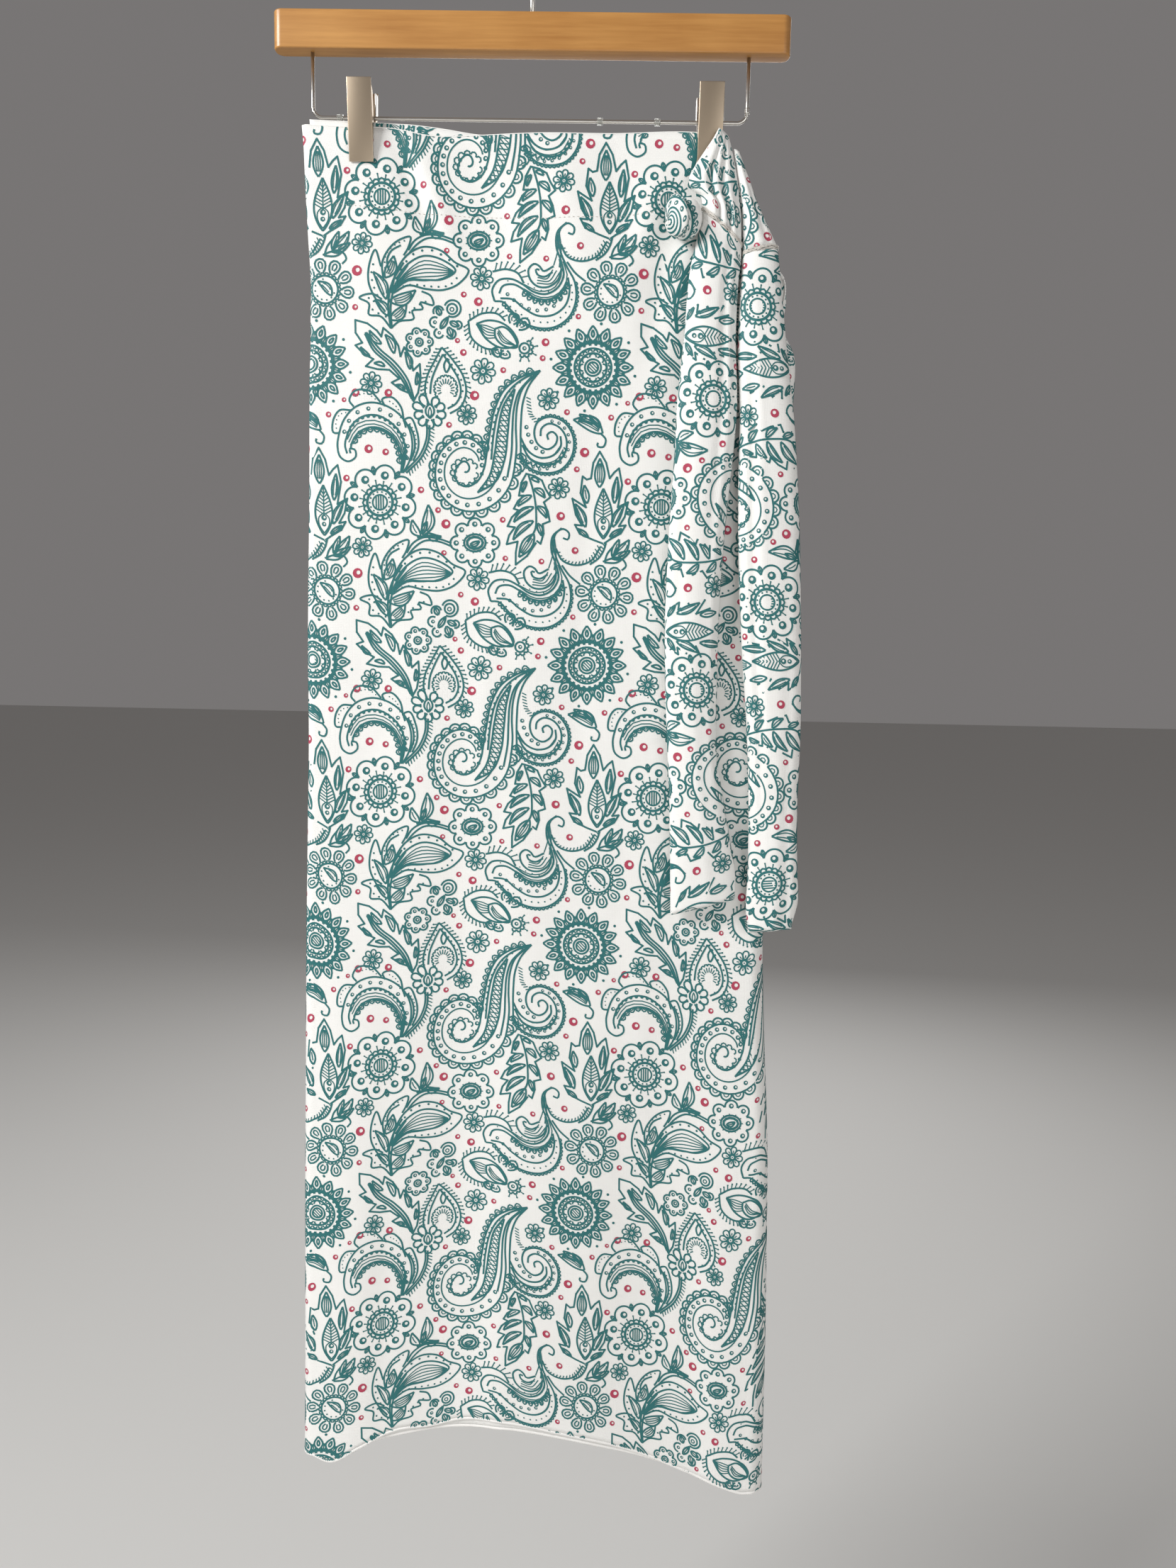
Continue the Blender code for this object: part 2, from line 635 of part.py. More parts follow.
def sleeve(name, place, length, wall, finish, group):
    """A round sleeve on the rod, a gap clear of it: a turned rectangle."""
    inner = (0.5 * WIRE + GAP) * MM
    outer = inner + wall * MM
    half = 0.5 * length * MM
    work = bmesh.new()
    corners = [(inner, -half), (inner, half), (outer, half), (outer, -half)]
    ring = [work.verts.new((r, 0.0, z)) for r, z in corners]
    for i in range(4):
        work.edges.new((ring[i], ring[(i + 1) % 4]))
    mesh = bpy.data.meshes.new(name)
    work.to_mesh(mesh)
    work.free()
    made = add_object(name, mesh, finish, group)
    turned = made.modifiers.new("Turned", "SCREW")
    turned.axis = "Z"
    turned.steps = 16
    turned.render_steps = 16
    turned.use_merge_vertices = True
    turned.merge_threshold = 0.00001
    turned.use_normal_flip = False
    made.rotation_euler = (0.0, math.pi / 2, 0.0)
    made.location = Vector((place, 0.0, WIRE_LEVEL)) * MM
    return made


def main():
    """Build the sarong and its hanger."""
    clear_scene()
    group = collection("wrap_sarong_on_hanger")
    cutters = collection("cutters")
    cloth = material("printed_jersey", (0.78, 0.80, 0.76), 0.75)
    wrong_side = material("jersey_wrong_side", (0.86, 0.84, 0.81), 0.8)
    wood = material("lacquered_beech", (0.47, 0.24, 0.08), 0.45)
    nickel = material("satin_nickel", (0.30, 0.27, 0.24), 0.38, 1.0)
    bright = material("bright_steel_wire", (0.60, 0.58, 0.55), 0.2, 1.0)
    build_hook(bright, group)
    build_bar(wood, group, cutters)
    build_wire(bright, group)
    for letter, place in STOP_RINGS.items():
        sleeve("stop_ring_" + letter, place, STOP_RING_LENGTH, STOP_RING_WALL, nickel, group)
    for side_name, place in CLIPS.items():
        build_clip(side_name, place, nickel, bright, group, cutters)
    build_front_panel(cloth, group)
    build_under_panel(cloth, group)
    build_back_panel(wrong_side, group)
    build_strap("tab_left", TAB_LEFT, cloth, group)
    build_strap("tab_right", TAB_RIGHT, cloth, group)
    build_strap("tie_left", [below_seam(TAB_LEFT[-1])] + TIE_LEFT, cloth, group)
    build_strap("tie_right", [below_seam(TAB_RIGHT[-1])] + TIE_RIGHT, cloth, group)
    build_knot(cloth, group)


if __name__ == "__main__":
    main()
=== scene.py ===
"""Looks for a printed wrap sarong that hangs by its waist from a wooden skirt hanger.

The skirt is one long wrap of white jersey with a paisley and flower print. Each cloth piece is
a thin shell on the form of its solid, and its print is a film of ink that lies on the shell.
Tables are in millimetres. +X is to the right as seen from the front, -Y is the front, +Z is up,
and the origin is the inside top of the hook.
"""

import math

import bmesh
import bpy
import numpy as np
from bpy.props import FloatProperty, FloatVectorProperty, PointerProperty
from mathutils import Matrix, Vector


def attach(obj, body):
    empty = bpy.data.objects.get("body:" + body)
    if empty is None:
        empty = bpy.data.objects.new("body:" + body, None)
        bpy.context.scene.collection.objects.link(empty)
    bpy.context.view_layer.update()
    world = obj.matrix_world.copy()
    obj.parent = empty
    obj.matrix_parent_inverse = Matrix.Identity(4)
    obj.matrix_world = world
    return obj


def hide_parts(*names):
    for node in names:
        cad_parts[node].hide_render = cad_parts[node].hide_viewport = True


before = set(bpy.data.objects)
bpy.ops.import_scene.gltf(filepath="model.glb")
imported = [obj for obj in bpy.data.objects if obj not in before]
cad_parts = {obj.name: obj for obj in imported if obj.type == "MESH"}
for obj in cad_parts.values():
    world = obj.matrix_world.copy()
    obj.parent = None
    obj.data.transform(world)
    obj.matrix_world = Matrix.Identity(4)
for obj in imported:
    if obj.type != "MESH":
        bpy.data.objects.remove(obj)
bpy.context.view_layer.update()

bl_info = {
    "name": "Printed wrap sarong on a skirt hanger",
    "version": (1, 0, 0),
    "blender": (4, 5, 0),
    "location": "3D View > Sidebar > Sarong",
    "description": "Dresses the sarong and its hanger, and sets the stage",
    "category": "Object",
}

BODY = "root"
MM = 0.001

# Cloth layers, as in the solids
WALL = 1.2
LAYER_GAP = 0.4
OUTSIDE = 2.0 * WALL + LAYER_GAP
LEVEL_TOP = -147.0
LEVEL_HEM = -1130.0

# Side folds of the hung skirt: level, left edge, right edge, and half of the hollow at the left
# fold, in the middle and at the right fold
LEVEL, LEFT_EDGE, RIGHT_EDGE, HOLLOW_LEFT, HOLLOW_MIDDLE, HOLLOW_RIGHT = range(6)
PROFILE = np.array([
    (-147, -160, 135, 0.4, 0.4, 0.4),
    (-158, -159, 139, 0.4, 0.4, 0.4),
    (-170, -158.5, 143, 0.4, 0.4, 0.5),
    (-185, -158, 148, 0.5, 0.8, 0.7),
    (-205, -157, 157, 0.7, 1.4, 1),
    (-224, -156, 167, 0.9, 2, 1.4),
    (-240, -155, 179, 1.1, 2.4, 1.8),
    (-255, -154.5, 182, 1.2, 2.7, 2.2),
    (-272, -155, 180, 1.4, 3, 2.6),
    (-286, -155, 188, 1.5, 3.3, 3),
    (-312, -156, 190, 1.8, 3.9, 3.6),
    (-345, -156.5, 187, 2.1, 4.6, 4.4),
    (-390, -157, 185, 2.6, 5.6, 5.4),
    (-440, -158, 184, 3, 6.6, 6.4),
    (-500, -159, 183, 3.5, 7.8, 7.4),
    (-570, -159, 182.5, 4, 8.8, 8.2),
    (-640, -160.5, 182.5, 4.4, 9.6, 8.8),
    (-710, -162, 183, 4.8, 10.4, 9.2),
    (-780, -163, 187, 5.2, 11, 9.6),
    (-850, -164, 192, 5.6, 11.6, 10),
    (-920, -165, 194.5, 5.8, 12.2, 10.2),
    (-980, -165.5, 196, 6, 12.6, 10.4),
    (-1030, -166, 197, 6, 13, 10.4),
    (-1070, -166.5, 197.5, 6, 13.2, 10.4),
    (-1105, -167, 198, 6, 13.4, 10.4),
    (-1130, -167.5, 198.5, 6, 13.6, 10.4),
])

# Waist and hem lines of each panel: place across, level
WAIST = {
    "front": [(-157, -146), (-127, -147), (-96, -147.5), (-70, -152), (-40, -151.5),
              (0, -149.5), (60, -149), (112, -147.5), (131, -148.5)],
    "under": [(-160, -142), (-128, -143), (-93, -144), (-60, -147), (-40, -150),
              (60, -148.5), (131, -148.5)],
    "back": [(-157, -146), (-96, -146.5), (-40, -150), (60, -149), (131, -148.5)],
}
HEM = {
    "front": [(-158, -1144), (-148, -1147), (-121, -1133), (-92, -1118), (-65, -1114),
              (-40, -1107), (0, -1106), (37, -1113), (67, -1120), (97, -1130), (126, -1142),
              (156, -1154), (180, -1163)],
    "under": [(-140, -1138), (-92, -1123), (-40, -1114), (0, -1112), (40, -1118), (97, -1133),
              (156, -1154), (180, -1163)],
    "back": [(-158, -1144), (-120, -1139), (-87, -1134), (-46, -1132), (9, -1129), (60, -1131),
             (110, -1141), (156, -1154), (180, -1163)],
}

# Soft folds: place at the top and at the foot, first and last level, half width, and how far
# the fold comes forward (less than nothing is a trough). The first table holds the folds that
# all layers share, the next two those of the front layers and of the back.
SHARED_FOLDS = [
    (-66, -22, -140, -290, 34, -3.4),
    (-104, -118, -170, -420, 24, 1.6),
    (52, 78, -150, -330, 40, 1.8),
    (-112, -126, -620, -1190, 30, 3),
    (-38, -46, -560, -1190, 36, -3.2),
    (34, 28, -700, -1190, 34, 2.6),
    (104, 118, -760, -1190, 34, -2.4),
]
FRONT_FOLDS = [
    (-134, -140, -330, -1190, 20, 1.6),
    (-70, -84, -260, -980, 26, 1.4),
    (6, -6, -230, -1190, 30, 2.2),
    (66, 60, -380, -1190, 24, 1.4),
    (150, 166, -700, -1190, 26, 2),
    (-98, -66, -140, -222, 8, -2.2),
    (-84, -44, -142, -246, 10, 2.1),
    (-46, -10, -142, -236, 13, -1.6),
    (14, 46, -142, -262, 15, 1.7),
    (54, 78, -142, -250, 13, -1.7),
    (98, 58, -160, -276, 10, 1.9),
    (104, 82, -186, -320, 8, -2.1),
    (110, 98, -236, -430, 10, -1.4),
    (-146, -148, -240, -520, 6, -0.6),
    (-24, -34, -420, -760, 10, 0.9),
    (48, 40, -300, -640, 9, -0.8),
    (88, 96, -520, -930, 11, 1),
    (-96, -104, -700, -1190, 10, -1),
    (-6, -14, -820, -1190, 10, 1),
    (132, 146, -880, -1190, 10, -1),
]
BACK_FOLDS = [
    (-88, -64, -150, -280, 12, 1),
    (90, 58, -170, -330, 12, 1.1),
    (-120, -128, -420, -1190, 10, 0.6),
    (-30, -22, -360, -900, 11, -0.7),
    (46, 52, -560, -1190, 10, 0.7),
    (118, 130, -760, -1190, 12, -0.6),
]
FREE_FOLD_RISE = 1.6
SWELL = 0.8

# Where the panels start and stop: 0 to 1 is the front from left to right, 1 to 2 the right
# fold, 2 to 3 the back and 3 to 4 the left fold
FOLD_PART = 1.0 / 6.0
FRONT_SPAN = (-1.0 + 2.0 * FOLD_PART, 2.125)
UNDER_SPAN = (0.009, 1.5)
BACK_SPAN = (1.5, 3.0 + 2.0 * FOLD_PART)
BACK_BLEND_FROM = 2.3
BACK_BLEND = 0.6
SEAM_GAP = 0.5
FLAT_STEP = 4.5
ROUND_STEP = 1.6
ROW_SHARES = np.linspace(0.0, 1.0, 210)

# Waist tabs and ties: left edge and right edge (across, depth, level), and the arch forward
TAB_LEFT = [
    (130.5, -11.6, -148.5, 136.5, -6.4, -151, 1.2),
    (127, -11.2, -155, 138, -7, -157, 1.8),
    (121.5, -10.6, -163, 140, -7.6, -166, 2.6),
    (115.5, -9.8, -172, 142, -8, -175, 3.6),
    (111.5, -8.8, -180, 143.5, -8.4, -184, 4.4),
    (113.5, -8.6, -187, 145, -8.8, -194, 5),
    (120, -8.9, -192.5, 146.4, -9.3, -206, 5.8),
    (120.5, -9.2, -199.5, 147.2, -9.8, -222, 6.2),
]
TIE_LEFT = [
    (120.4, -9.4, -203, 147.2, -9.9, -224, 6.3),
    (120.4, -9.8, -211, 147.3, -10.2, -232, 6.5),
    (116.4, -11.4, -228, 146.6, -11.4, -240, 7.8),
    (113, -12.2, -250, 145.4, -12, -256, 8.2),
    (111, -13, -286, 145.2, -12.8, -290, 8.6),
    (107.6, -13.8, -330, 147.4, -13.6, -332, 8.8),
    (106.4, -14.4, -370, 145.4, -14.4, -372, 8.6),
    (104.2, -15.2, -420, 141.4, -15.2, -422, 8.8),
    (103, -16, -480, 139.2, -16, -480, 9),
    (104.4, -16.6, -530, 139.4, -16.6, -530, 8.8),
    (107.2, -17.2, -575, 140.4, -17, -574, 8.2),
    (109.4, -17.6, -610, 145.6, -17.4, -606, 8.8),
    (111, -18, -648, 152.6, -17.6, -642, 8.6),
    (112, -18.2, -676, 157, -17.8, -664, 7.4),
    (112.6, -18.4, -694, 157.6, -18, -682, 6.4),
]
TAB_RIGHT = [
    (142, -6.4, -160, 144.2, -6, -161, 0.8),
    (143.6, -7, -169, 147.6, -6.4, -170, 1.4),
    (146, -7.6, -181, 152, -6.8, -181, 2.4),
    (148.2, -8.2, -194, 157, -7.2, -194, 3.6),
    (149.6, -8.8, -209, 163.8, -7.8, -208, 4.8),
    (150.4, -9.4, -228, 171.8, -8.6, -224, 6),
]
TIE_RIGHT = [
    (150.2, -9.6, -230.5, 172.4, -8.9, -226.5, 6.1),
    (149.6, -10.8, -244, 174.4, -10.2, -242, 7.2),
    (148.8, -11.8, -266, 177.4, -11.4, -266, 8),
    (149, -12.6, -298, 181.4, -12.4, -298, 8.6),
    (151.4, -13.4, -340, 187.6, -13.2, -340, 9),
    (152.2, -14.2, -392, 192.6, -14, -392, 9.2),
    (154.6, -15, -446, 196.2, -15, -446, 9.2),
    (158.4, -15.8, -500, 198.8, -15.8, -500, 8.8),
    (164, -16.6, -560, 200.8, -16.4, -560, 8.6),
    (167.4, -17.2, -616, 200.6, -17, -616, 8.6),
    (168.4, -17.8, -662, 202.4, -17.6, -660, 8.2),
    (168, -18.2, -690, 204, -17.8, -684, 7.2),
    (170, -18.4, -706, 200, -18, -703, 6.2),
]
# Lengthwise folds of a strap: place across (-1 to 1), first and last part of its length, half
# width and height, as shares of the strap's half width and in millimetres
STRAP_FOLDS = {
    "tab_left": [(-0.4, 0.1, 1, 0.16, 2.4), (-0.12, 0, 1, 0.09, -2.4),
                 (0.12, 0.05, 1, 0.12, 2), (0.36, 0, 1, 0.09, -2),
                 (0.62, 0.1, 1, 0.12, 1.2)],
    "tab_right": [(0, 0, 1, 0.25, 0.8), (0.5, 0.3, 1, 0.16, -0.8)],
    "tie_left": [(0.45, 0, 0.55, 0.12, -1.6), (0.72, 0.05, 0.9, 0.12, 0.7),
                 (-0.55, 0.2, 0.8, 0.16, -0.9), (0.1, 0.45, 1, 0.14, 0.8)],
    "tie_right": [(-0.55, 0.15, 0.85, 0.12, -1.8), (-0.25, 0.1, 0.7, 0.12, 0.8),
                  (0.5, 0.3, 1, 0.16, -0.9), (0.05, 0.55, 1, 0.14, 0.7)],
}
# Tabs and ties: rows, whether the end is closed, the print's place, and its way (1 turns the
# repeat's top to the left, -1 to the right)
STRAPS = {
    "tab_left": (TAB_LEFT, False, (0, 126), -1),
    "tab_right": (TAB_RIGHT, False, (-8, 110), 1),
    "tie_left": (TIE_LEFT, True, (3.5, 117), -1),
    "tie_right": (TIE_RIGHT, True, (-3.5, 39), 1),
}
STRAP_SKIN = 1.1
STRAP_BACK = 0.24
STRAP_COLUMNS = 48
STRAP_STEP = 3.0

# Ragged seams between tabs and ties: seed of the random draws
SEAM_SEEDS = {"left": 11, "right": 12}
# Radii of the overlock at the hem and at the side edge, of the waist's fold and of the seams
HEM_EDGE = 1.5
SIDE_EDGE = 1.2
WAIST_FOLD = 0.62
SEAM_THREAD = 0.62
LOOP_THREAD = 0.32
# Overlocked edge of the skirt that curls out behind the right tie: across, depth, level
EDGE_LOOP = [(172.5, -4.4, -239), (176.2, -4.8, -240.8), (179.6, -4.6, -246),
             (180.4, -4.4, -253), (179.4, -4.2, -260), (178, -4.2, -266.5),
             (177, -4.2, -272)]

# Knot: a curled bundle of cloth, its nose pointing down to the left
KNOT_CENTRE = (106.4, -15.85, -208.0)
KNOT_RADII = (12.6, 11.0, 14.6)
KNOT_NOSE = (-0.62, -0.60, -0.34)
KNOT_TURNS = 2.1
KNOT_GROOVE = 0.36
KNOT_LIP = 0.12
KNOT_START = 0.6
KNOT_BEAK = 0.14

# Hanger
BAR_LENGTH = 356.0
BAR_HEIGHT = 25.4
BAR_DEPTH = 14.0
BAR_TOP = -72.0
BAR_BOTTOM = BAR_TOP - BAR_HEIGHT
BAR_END_ROUND = 6.0
BAR_EDGE_ROUND = 1.2
HOOK_WIRE = 3.4
HOOK_INSIDE_RADIUS = 19.0
HOOK_SEAT = 10.0
HOOK_FROM = 200.0
HOOK_TO = -42.0
NECK_HEIGHT = 12.0
NECK_REACH = 11.0
WIRE = 2.6
WIRE_LEVEL = -140.0
WIRE_LEFT = -152.0
WIRE_RIGHT = 150.0
WIRE_BEND = 7.0
# Levels of the small collar at the rod's right elbow
COLLAR_LEVELS = (-130.4, -130.9, -133.2, -133.7)
STOP_RINGS = {"a": -133.0, "b": 48.0, "c": 88.0}
STOP_RING_LENGTH = 4.0
CLIPS = {"left": -117.5, "right": 124.5}
CLIP_WIDTH = 17.0
CLIP_TOP = -118.0
CLIP_BOTTOM = -170.5
CLIP_PLATE = 1.2
CLIP_SPREAD = 12.5
CLIP_BITE = OUTSIDE + 0.7
FLANGE_WALL = 0.9
# Outline of a plate's rim: level about the plate's middle, and reach
FLANGE_RIM = [(22, 0), (19, 3.6), (9, 5), (2, 5.2), (-6, 3.4), (-15, 0)]
EAR_LEVEL = -131.5
EAR_SIZE = (1.0, 6.4, 16.0)
EAR_DEPTH = 2.6
SLEEVE_OUTSIDE = 2.4
SLEEVE_WALL = 0.9
CUT_EDGE = 0.12
PRESSED_EDGE = 0.45
EAR_EDGE = 0.4
COLLAR_WALL = 0.45
# Clip springs: turns, length, and radii of the coil and of its wire
SPRING_TURNS = 6
SPRING_LENGTH = 7.2
SPRING_RADIUS = 2.5
SPRING_WIRE = 0.5
# Facing: place and level of the row of stitches that holds the waist's turned edge
FACING_LINE = [(-150, -196), (-134, -198), (-66, -204), (10, -206), (60, -204.5), (88, -201)]
STITCH = 2.2
STITCH_PITCH = 3.2
# Corners of a stitch: share of its length, millimetres aside and up
STITCH_FORM = [(0, 0, 0), (0.5, 0.3, 0.12), (0.5, 0, 0.42), (0.5, -0.3, 0.12), (1, 0, 0)]

# Camera, found from the bar, the rod and the skirt's edges in the photograph
IMAGE_SIZE = (1659, 2212)
FOCAL_PIXELS = 1662.0
CAMERA_PLACE = (0.0613, -0.8694, -0.4966)
CAMERA_PITCH = math.radians(7.05)
CAMERA_YAW = math.radians(-0.82)
CAMERA_ROLL = math.radians(1.13)
SENSOR = 36.0

# Print: one repeat is charted on a grid of CHART units, x to the right and y down. The repeat's
# size and the place of its rosette on each panel set the print's scale and place.
TILE = (202.4, 209.5)
CHART = (1455.0, 1507.0)
UNIT = TILE[0] / CHART[0]
ROSETTE = (398.6, 532.4)
ROSETTE_PLACES = {"front": (-104.8, 192.8), "under": (-43.8, 240.8), "back": (13.2, 162.8)}
# The front's print is drawn aside and down towards the hem: place and reach of each pull,
# millimetres aside and down at the hem, and the depth where it starts
PULLS = {"front": [(-24, 62, 0, -19, 520), (-188, 50, -12, 17.5, 690), (176, 52, -0.5, 20, 640)]}
CHART_TURN = math.radians(1.13)
OUTLINE = 9.8
FINE = 6.0
HEAVY = 13.4
STROKE_STEP = 12.0
INK, ACCENT = range(2)
FILM_LIFT = 0.13
FILM_SPREAD = 0.08
GROUND_STEP = 1.2
# Cloth left bare along every edge, and along the hem of the panel behind the front
EDGE_BARE = 0.15
HEM_BARE = {"under": 8.0}
# Knot's print: level and width of its lines, then kind, level, count and size of its rows
KNOT_LINES = [(18, 8), (35, 8), (52, 8), (70, 9), (116, 9), (182, 9)]
KNOT_ROWS = [("rings", 93, 12, 9.5), ("loops", 118, 15, 22), ("rings", 160, 12, 9.5),
             ("loops", 184, 15, 24)]
SMALLEST_FACE = 0.002

# Round petals of the bud: x, y, radius, first and last angle
BUD_PETALS = [(656, 1152, 26, 90, 300), (676, 1206, 24, 20, 250), (738, 1210, 24, -70, 160),
              (774, 1166, 20, -120, 110), (674, 1098, 26, 150, 350)]
# Small flowers and accent rings of the repeat: x, y, radius
SMALL_FLOWERS = [
    (290, 765, 52), (845, 105, 50), (1315, 475, 54), (895, 935, 58), (325, 1450, 56),
    (900, 1395, 64), (1262, 30, 54),
]
ACCENT_RINGS = [
    (212, 22, 12), (128, 93, 15), (335, 270, 22), (423, 288, 17), (215, 413, 17), (603, 481, 17),
    (752, 155, 15), (885, 10, 24), (690, 583, 15), (730, 653, 24), (1025, 634, 15),
    (1324, 616, 22), (1398, 790, 18), (1224, 846, 15), (1037, 830, 14), (718, 800, 14),
    (262, 897, 26), (250, 1075, 15), (803, 1014, 15), (877, 1050, 22), (1386, 1130, 14),
    (770, 1243, 13), (800, 1302, 17), (1219, 1255, 20), (1204, 1333, 15), (1003, 1391, 15),
    (243, 1495, 21), (413, 1500, 20), (1357, 95, 15), (1447, 295, 24),
    (1407, 380, 15),
]
# Leaves of the repeat: base x, y, tip x, y, half width, bow, strokes inside
LEAVES = [
    # lotus
    (90, 702, 90, 447, 46, 0, 0), (70, 442, 72, 296, 25, 0, 5),
    (146, 522, 160, 388, 17, 0, 4), (138, 642, 196, 530, 18, -0.05, 4),
    (122, 692, 186, 650, 11, 0, 2), (6, 522, -8, 430, 16, 0, 4),
    (-2, 642, -56, 524, 18, 0.05, 4), (12, 692, -44, 650, 11, 0, 2),
    # first spray
    (1172, 424, 1214, 446, 9, -0.1, 1), (1188, 478, 1244, 524, 15, -0.12, 3),
    (1204, 566, 1252, 626, 15, -0.12, 3), (1206, 652, 1226, 716, 13, -0.05, 2),
    (1150, 440, 1128, 496, 11, 0.1, 1), (1176, 512, 1104, 566, 14, 0.1, 3),
    (1186, 570, 1082, 646, 17, 0.1, 3), (1184, 640, 1078, 736, 19, 0.1, 4),
    (1186, 706, 1108, 824, 27, 0, 6),
    # composite leaf
    (405, 935, 450, 828, 26, 0.1, 4), (425, 1050, 560, 995, 28, 0.12, 5),
    (428, 1140, 512, 1064, 26, 0.1, 4), (418, 1120, 352, 1040, 20, 0.1, 4),
    (410, 1040, 345, 905, 22, 0.1, 4),
    # second spray
    (382, 1258, 322, 1190, 13, -0.1, 2), (446, 1306, 402, 1212, 16, 0.1, 3),
    (398, 1368, 342, 1352, 9, 0.1, 1), (526, 1384, 502, 1298, 15, 0.1, 3),
    (556, 1462, 562, 1398, 11, 0.1, 2), (498, 1486, 450, 1462, 10, 0.1, 1),
    (322, 1318, 274, 1270, 10, -0.1, 1),
    # tulip bud
    (612, 712, 640, 556, 30, 0.1, 2), (598, 716, 556, 632, 20, -0.14, 1),
    (630, 700, 706, 716, 17, 0.2, 1), (606, 704, 632, 640, 12, 0, 1),
    # leaf fish
    (1540, 200, 1390, 132, 34, 0.12, 5), (1500, 150, 1420, 105, 16, 0, 1),
    (1530, 165, 1470, 110, 14, 0, 1),
    # lily
    (140, 796, 224, 706, 24, 0.08, 2), (134, 802, 230, 762, 17, 0.05, 1),
    (136, 792, 172, 704, 15, 0, 1),
    # butterfly
    (684, 1184, 724, 1126, 13, 0, 5), (684, 1118, 668, 1078, 13, 0, 1),
    (726, 1176, 742, 1226, 14, 0, 1), (732, 1150, 780, 1172, 13, 0, 1),
]
